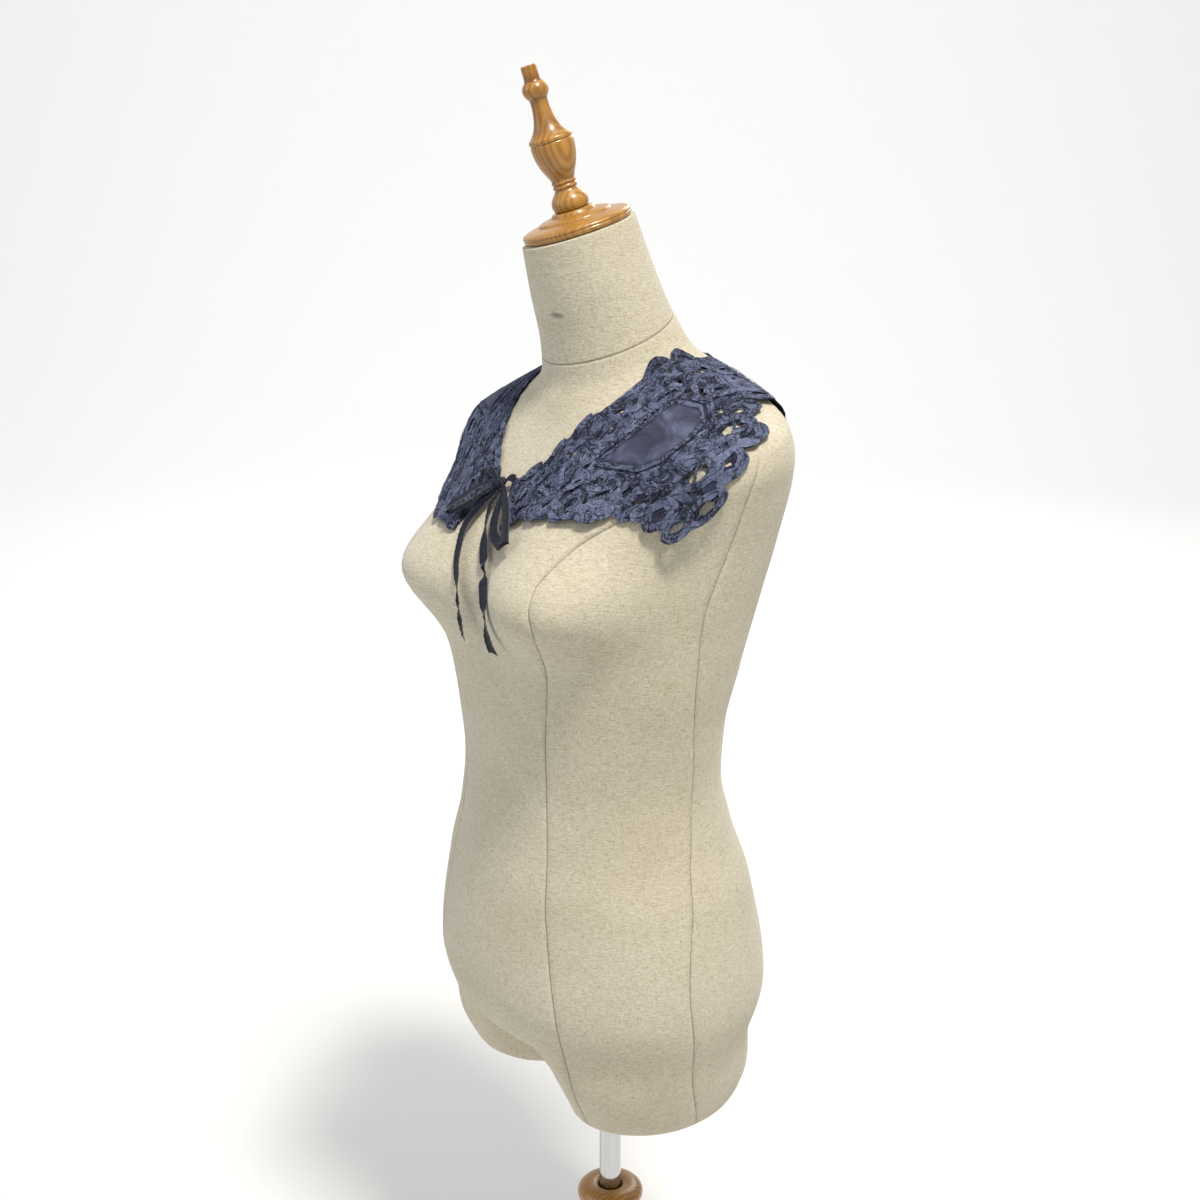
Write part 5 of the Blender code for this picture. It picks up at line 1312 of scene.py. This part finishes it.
        # tapes tucked under the bands sink and are painted darkest, as painted shade
        heights, rises = heights * kept + lace["levels"][0] * (1 - kept), rises * kept
        points = drape.lay(flat, np.clip(heights * lace["flatten"], *lace["levels"]))
        marks = {"rise": np.clip(rises, 0, 1), "cord": np.concatenate(self.cords)}
        cutPoint, cutFace = self.ground
        made = []
        for name, start, end, faces in (("lace_underlay_", 0, cutPoint, self.faces[:cutFace]),
                                        ("lace_tapes_", cutPoint, len(points), self.faces[cutFace:])):
            faces = [tuple(i - start for i in (f if drape.side < 0 else reversed(f))) for f in faces]
            made.append(newPiece(name + side, points[start:end], faces, laceCloth, "form",
                                 {key: values[start:end] for key, values in marks.items()}))
        return made


panel = {"reach": 165, "border": 0.55, "rowPace": 0.87, "jitter": 0.4, "leastFace": 0.02}


def lacePanel(name, loops, drape, spacing, heightAt, thick, material, seed):
    # a flat cut filled with triangles, laid on the form and given its thickness
    draw = random.Random(seed)
    jitter, pace = panel["jitter"], spacing * panel["rowPace"]
    seeds = []
    low = min(math.hypot(*p) for p in loops[0]) - collar["flatNeck"]
    for k in range(int((panel["reach"] - low) / pace)):
        down = low + k * spacing * panel["rowPace"]
        count = int(math.radians(collar["sweep"]) * (collar["flatNeck"] + down) / spacing)
        for i in range(count):
            spot = flatPlace(180 * (i + (0.5 if k % 2 else 0.0)) / count, down)
            seeds.append((spot.x + draw.uniform(-jitter, jitter), spot.y + draw.uniform(-jitter, jitter)))

    def onCloth(spots):
        kept = insideMany(spots, loops[0])
        for hole in loops[1:]:
            kept &= ~insideMany(spots, hole)
        return kept

    seeds = np.array(seeds)
    seeds = seeds[onCloth(seeds)]
    seeds = seeds[distanceMany(seeds, loops) > panel["border"] * spacing]
    points, edges = [], []
    for loop in loops:
        first = len(points)
        points += [Vector(tuple(p)[:2]) for p in loop]
        edges += [(first + k, first + (k + 1) % len(loop)) for k in range(len(loop))]
    points += [Vector(p) for p in seeds]
    spots, _, triangles, _, _, _ = delaunay_2d_cdt(points, edges, [], 0, 1e-5)
    spots = np.array([tuple(p) for p in spots])
    tris = np.array(triangles)
    a, b, c = spots[tris[:, 0]], spots[tris[:, 1]], spots[tris[:, 2]]
    areas = abs((b - a)[:, 0] * (c - a)[:, 1] - (b - a)[:, 1] * (c - a)[:, 0]) / 2
    kept = onCloth(spots[tris].mean(1)) & (areas > panel["leastFace"] / 2)
    tris, area = tris[kept], float(areas[kept].sum())
    used = np.unique(tris)
    renumber = np.zeros(len(spots), int)
    renumber[used] = np.arange(len(used))
    tris, spots = renumber[tris], spots[used]
    heights, rises = heightAt(spots)
    worn = drape.lay(spots, heights)
    faces = [tuple(int(v) for v in (t[::-1] if drape.side > 0 else t)) for t in tris]
    piece = newPiece(name, worn, faces, material, "form", {"rise": rises, "cord": np.zeros(len(spots))})
    wall = piece.modifiers.new("wall", "SOLIDIFY")
    wall.thickness = thick * mm
    wall.offset = 1
    return piece, area, spots


def frontSpot(cut, share, aside=0.0):
    # a place down the front edge, by its share of the way to the outer edge
    width = widthAt(cut, collar["frontWidthAt"]) - collar["lobeDepth"]
    return flatPlace(frontEdge(share) + aside, share * width)


def laceOutline(cut):
    outline = [tuple(p) for p in outerEdge(cut, 14)]
    outline += [tuple(flatPlace(collar["backSeam"], share * (widthAt(cut, 180) - collar["lobeDepth"])))
                for share in np.linspace(0.96, 0.04, 26)]
    steps = int(collar["backSeam"] - frontEdge(0))            # one point a degree along the neck edge
    for k in range(steps + 1):
        angle = collar["backSeam"] + (frontEdge(0) - collar["backSeam"]) * k / steps
        outline.append(tuple(flatPlace(angle, neckDown(angle))))
    return outline + [tuple(frontSpot(cut, share)) for share in np.linspace(0.06, 0.94, 12)]


def bentLine(spot, heading, bend, length, count):
    return [spot + Vector((math.cos(heading + bend * s * length), math.sin(heading + bend * s * length)))
            * (s * length) for s in np.linspace(-0.5, 0.5, count)]


def groundTapes(holes, outline, work):
    # gathered tapes under everything else, turned along the collar, kept off the holes
    draw = work.random
    keepOut = insertOutline(4.0)
    calmTo, calm, loose = lace["flow"]
    low, count = 3.0, 0
    while low < lace["fillTo"]:
        places = int(math.radians(collar["sweep"]) * (collar["flatNeck"] + low) / lace["fillSpacing"])
        for i in range(places):
            angle = 180 * (i + draw.random()) / places
            spot = flatPlace(angle, low + draw.uniform(-3, 3))
            swirl = noise.noise(Vector((spot.x / lace["flowLong"], spot.y / lace["flowLong"], 3.1))) * math.pi
            swirl += draw.uniform(-0.8, 0.8)
            heading = math.atan2(spot.y, spot.x) + math.pi / 2 + (calm if low < calmTo else loose) * swirl
            length = draw.uniform(*lace["fillLong"])
            points = bentLine(spot, heading, draw.uniform(-lace["fillBend"], lace["fillBend"]), length, 6)
            tape = lace["tapeWide"] * draw.uniform(*lace["fillWide"])
            level = draw.uniform(*lace["fillLevel"])
            flat = np.array([tuple(p) for p in points])
            if not insideMany(flat, outline).all() or distanceMany(flat, [outline]).min() < tape / 2 - 0.4:
                continue
            if distanceMany(flat, holes).min() < tape / 2 + 0.3 or insideMany(flat, keepOut).any():
                continue
            work.add(points, False, level, tape, 1.1, draw.uniform(0.0, 0.5))
            count += 1
        low += lace["fillSpacing"] * 0.72
    work.ground = (work.count, len(work.faces))
    print("ground tapes", count)


def leafTapes(cut, work):
    # each leaf's outline, then a thin bar across the largest openings and a gathered tape across some others
    draw, wide = work.random, lace["tapeWide"]
    barTurn, barShare, barLevel, barWide = lace["bar"]
    for angle, share, long, broad, turnBy, hole, _ in leaves:
        spot = flatPlace(angle, share * widthAt(cut, angle))
        size = lace["leafSize"] * draw.uniform(0.9, 1.08)
        turnBy += draw.uniform(-12, 12)
        loop = jagged(oval(spot, spot.normalized(), long * size, broad * size, turnBy, 12), lace["leafRough"], draw)
        work.add(loop, True, draw.uniform(1.2, 2.2), wide * draw.uniform(0.8, 1.0), 1.1)
        large = hole > lace["largeFrom"]
        if not large and draw.random() >= lace["crossed"]:
            continue
        turnBy += barTurn if large else draw.uniform(-50, 50)
        way = Matrix.Rotation(math.radians(turnBy), 2) @ spot.normalized()
        cross = Vector((-way.y, way.x))
        aside = cross * draw.uniform(-2.5, 2.5)
        if large:
            reach, bow, shape = broad * barShare, cross * 0, (barLevel, barWide, 0.4)
        else:
            reach, bow = long * 0.5, cross * draw.uniform(-2, 2)
            shape = (draw.uniform(1.5, 2.2), wide * draw.uniform(0.45, 0.75), 1.0, 0.3)
        work.add([spot + aside + way * (s * reach) + bow * (1 - s * s) for s in (-1, -0.5, 0, 0.5, 1)], False, *shape)


def tapesOf(cut, holes, outline, work):
    draw = work.random
    work.parted = [(spot, (long + broad) / 4) for spot, long, broad, _ in gapPlaces(cut)]
    groundTapes(holes, outline, work)
    # the neck band, a narrow second tape and two zigzags, then two close rows round the insert
    span = np.arange(frontEdge(0) + 1, 179.0, 2.0)
    for down, waves, start, *shape in lace["neckRows"]:
        work.add([flatPlace(a, down + neckDown(a) * waves) for a in span[start:]], False, *shape)
    for down, swing, beat, start, pace, *shape in lace["zigzags"]:
        angles = np.arange(start, 178, pace)
        work.add([flatPlace(a, down + swing * math.sin(k * beat)) for k, a in enumerate(angles)], False, *shape, 1.1)
    for out, level, wide, gather, tuck in lace["bands"]:
        work.add(insertOutline(out), True, level, wide, gather, tuck=tuck)
    # leaves, then the scallops' rings and the borders that follow them
    leafTapes(cut, work)
    for k, (spot, long) in enumerate(lobeCentres(cut)):
        loop = jagged(oval(spot, spot.normalized(), long, collar["ring"][1], 90, 12), lace["ringRough"], draw)
        work.add(loop, True, 1.5 + 0.25 * (k % 2), lace["ringTapes"][k == collar["openLobe"]], 1.0)
    for inset, shallow, lobes, *shape in lace["borders"]:
        work.add(outerEdge(cut, 8, inset, shallow, lobes), False, *shape)
    pitch, long, broad, tape = lace["frontPicot"]
    border = smoothPath(outerEdge(cut, 8, lace["picotInset"], 1.0, lace["picotLobes"]), False, pitch)[0]
    for place, ahead in zip(border[:-1], border[1:]):
        spot, way = Vector((place + ahead) / 2), Vector(ahead - place).normalized()
        work.add(jagged(oval(spot, way, long, broad, 0, 10), 0.1, draw), True, draw.uniform(1.7, 2.1), tape, 1.1)
    share, broad, tape, level, over = lace["neckLeaf"]
    for angle, long in lace["neckLeaves"]["left" if cut is cuts["left"] else "right"]:
        spot = flatPlace(angle, -over)
        loop = oval(spot, spot.normalized(), long * share, broad, 90 + draw.uniform(-14, 14), 10)
        work.add(jagged(loop, 0.1, draw), True, level, tape, 1.2)
    for aside, level in lace["frontRows"]:
        work.add([frontSpot(cut, s, aside) for s in np.linspace(0.08, 0.92, 7)], False, level, lace["frontTape"], 1.0)


def threadPiece(name, lines, thick):
    # corded thread: one curve of many short splines, made a mesh
    curve = bpy.data.curves.new(name, "CURVE")
    curve.dimensions = "3D"
    curve.bevel_depth = thick * mm
    curve.bevel_resolution = 1
    curve.use_fill_caps = True
    for line in lines:
        spline = curve.splines.new("POLY")
        spline.points.add(len(line) - 1)
        for point, place in zip(spline.points, line):
            point.co = (*place, 1)
    strung = bpy.data.objects.new("strung", curve)
    bpy.context.scene.collection.objects.link(strung)
    mesh = bpy.data.meshes.new_from_object(strung.evaluated_get(bpy.context.evaluated_depsgraph_get()))
    bpy.data.objects.remove(strung)
    return settled(name, mesh, threadCloth, "form")


def threadRuns(cut, outline, holes, draw):
    # loose threads over the tapes, then crossing bars in the larger holes: flat places and heights
    keepOut = insertOutline(1.0)
    runs = []
    tries = 0
    while len(runs) < lace["threads"] and tries < lace["tries"]:
        tries += 1
        angle, share = draw.uniform(10, 172), draw.uniform(0.08, 0.9)
        spot = flatPlace(angle, share * widthAt(cut, angle))
        heading, bend = draw.uniform(0, math.pi), draw.uniform(-lace["threadBend"], lace["threadBend"])
        flat = np.array([tuple(p) for p in bentLine(spot, heading, bend, draw.uniform(*lace["threadLong"]), 22)])
        if insideMany(flat, outline).all() and not insideMany(flat, keepOut).any():
            runs.append((flat, [lace["threadLevel"] + 0.25 * math.sin(k * 0.7 + angle) for k in range(len(flat))]))
    for hole in holes:
        centreAt = sum((Vector(p) for p in hole), Vector((0, 0))) / len(hole)
        size = max((Vector(p) - centreAt).length for p in hole) * 2
        if size < lace["barsFrom"]:
            continue
        start = draw.uniform(0, math.pi)
        count = 2 if size < lace["threeBarsFrom"] else 3
        for bar in range(count):
            way = start + bar * math.pi / count + draw.uniform(-0.2, 0.2)
            axisWay = Vector((math.cos(way), math.sin(way))) * (size / 2 + lace["barPast"])
            runs.append(([tuple(centreAt + axisWay * s) for s in np.linspace(-1, 1, 9)],
                         [lace["barLevel"] + 0.12 * bar] * 9))
    return runs


# the insert: spacing of its points, thickness, height at its rim, how it waves inside it, then the painted shade at
# its rim under the band: how far in it stays full and over how far it fades, all in mm
lawn = {
    "seeds": 2.6, "thick": 0.3, "rise": 0.85, "wave": 0.5, "waveLong": 13, "fullOver": 3.5, "hem": 0.5,
    "rimShadeFade": 0.8,
}


def makeHalf(name, side):
    cut = cuts[name]
    drape = Drape(side, cut, ridges[name])
    outline = laceOutline(cut)
    holes = openings(cut)
    window = insertOutline(0.0)
    work = TapeWork(41 if side > 0 else 43)
    long = lace["groundLong"]

    def groundHeight(spots):
        rough = np.array([noise.fractal(Vector((x / long, y / long, side * 7.0)), 0.7, 2.0, 3) for x, y in spots])
        heights = np.clip(lace["groundRise"] + lace["groundBump"] * rough, 0.08, 1.0)
        # the ground gets a low rise, so it is painted dark as the shade between and under the tapes
        return heights, np.clip(0.17 + 0.1 * rough, 0, 1)

    ground, area, _ = lacePanel("lace_ground_" + name, [outline] + holes + [window], drape, lace["groundSeeds"],
                                groundHeight, lace["groundThick"], laceCloth, 17)
    tapesOf(cut, holes + [window], outline, work)
    tapes = work.pieces(name, drape)
    lines = [drape.lay(flat, heights) for flat, heights in threadRuns(cut, outline, holes, work.random)]
    threads = threadPiece("lace_threads_" + name, lines, lace["threadThick"])
    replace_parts(ground, "lace_" + name)
    patch = insertOutline(collar["insertLap"], 2.0)

    def lawnHeight(spots):
        rim = np.maximum(distanceMany(spots, [patch]) - collar["insertLap"], 0)
        wave = lawn["waveLong"]
        rough = np.array([noise.fractal(Vector((x / wave, y / wave, 1.3)), 0.6, 2.0, 2) for x, y in spots])
        full = 1 - np.exp(-rim / lawn["fullOver"])
        # the second value is low at the rim, which the colour paints darker as the shade under the band
        return (lawn["rise"] + lawn["wave"] * full + lawn["wave"] * rough * full,
                np.clip((rim - lawn["hem"]) / lawn["rimShadeFade"], 0, 1))

    insert, area, spots = lacePanel("lawn_insert_" + name, [[tuple(p) for p in patch]], drape, lawn["seeds"],
                                    lawnHeight, lawn["thick"], lawnCloth, 23)
    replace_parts(insert, "insert_" + name)
    return drape


drapes = {name: makeHalf(name, side) for name, side in (("left", 1), ("right", -1))}
print("collar made")


# bars down the back seam: how many, how far each slants, height, length past the edges, sag, thickness, in mm
bars = {"count": 15, "aside": 1.2, "level": 2.0, "past": 2.8, "sag": 0.7, "thick": 0.3, "first": 3, "short": 4}


def backSeamBars():
    # needle-made bars that join the two halves down the centre back
    lines = []
    width = widthAt(cuts["left"], 180) - collar["lobeDepth"] - bars["short"]
    for k in range(bars["count"]):
        down = bars["first"] + width * k / (bars["count"] - 1)
        aside = bars["aside"] * (-1) ** k
        left = Vector(drapes["left"].lay([flatPlace(179.0, down + aside)], [bars["level"]])[0])
        right = Vector(drapes["right"].lay([flatPlace(179.0, down - aside)], [bars["level"]])[0])
        past = (right - left).normalized() * (bars["past"] * mm)
        left, right = left - past, right + past
        lines.append([left.lerp(right, s / 6) + Vector((0, bars["sag"] * mm * math.sin(math.pi * s / 6), 0))
                      for s in range(7)])
    threadPiece("back_seam_bars", lines, bars["thick"])


backSeamBars()
print("back seam joined")


# stage: pale floor and soft studio light. The floor is matt painted board, so it shows soft shadows and no gloss.

floorLook = {
    "shader": {"Roughness": 0.9, "Base Color": linear("#e2e2e0")}, "patterns": {},
    "flat": 4.0, "bend": 3.0, "wall": 4.6, "steps": 64, "sky": "#fafbff", "skyStrength": 0.62,
}


def stage():
    # a round floor that bends up into a wall
    flat, round, wall = floorLook["flat"], floorLook["bend"], floorLook["wall"]
    bend = [(flat + round * math.sin(t), round * (1 - math.cos(t))) for t in np.radians(np.arange(0, 91, 5))]
    bm = bmesh.new()
    outline = [bm.verts.new((r, 0, z)) for r, z in [(0.0, 0.0), *bend, (flat + round, wall)]]
    spinProfile(bm, outline, floorLook["steps"])
    mesh = bpy.data.meshes.new("floor")
    bm.to_mesh(mesh)
    bm.free()
    mesh.shade_smooth()
    mesh.materials.append(newMaterial("pale floor", floorLook)[0])
    floor = bpy.data.objects.new("floor", mesh)
    bpy.context.scene.collection.objects.link(floor)
    world = bpy.data.worlds.new("studio")
    world.use_nodes = True
    sky = world.node_tree.nodes["Background"].inputs
    sky["Color"].default_value = linear(floorLook["sky"])
    sky["Strength"].default_value = floorLook["skyStrength"]
    bpy.context.scene.world = world


lamps = [
    # name, place, aims at, size, power, color
    ("key", (1.35, -0.25, 3.5), (0, 0, 0.95), 0.5, 112, "#fff9ee"),
    ("fill", (-1.2, -2.6, 1.7), (0, 0, 0.8), 1.8, 14, "#f0f5ff"),
    ("rim", (-1.5, 2.3, 2.3), (0, 0, 0.9), 1.4, 22, "#fffcf6"),
    ("backdrop", (-2.2, 1.5, 3.6), (-5.6, 3.9, 0.4), 2.4, 110, "#fafbff"),
]


def lights():
    for name, place, aim, size, power, color in lamps:
        data = bpy.data.lights.new(name, "AREA")
        data.size = size
        data.energy = power
        data.color = linear(color)[:3]
        lamp = bpy.data.objects.new(name, data)
        bpy.context.scene.collection.objects.link(lamp)
        lamp.location = place
        lamp.rotation_euler = (Vector(aim) - Vector(place)).to_track_quat("-Z", "Y").to_euler()


stage()
lights()
print("floor and lights set")
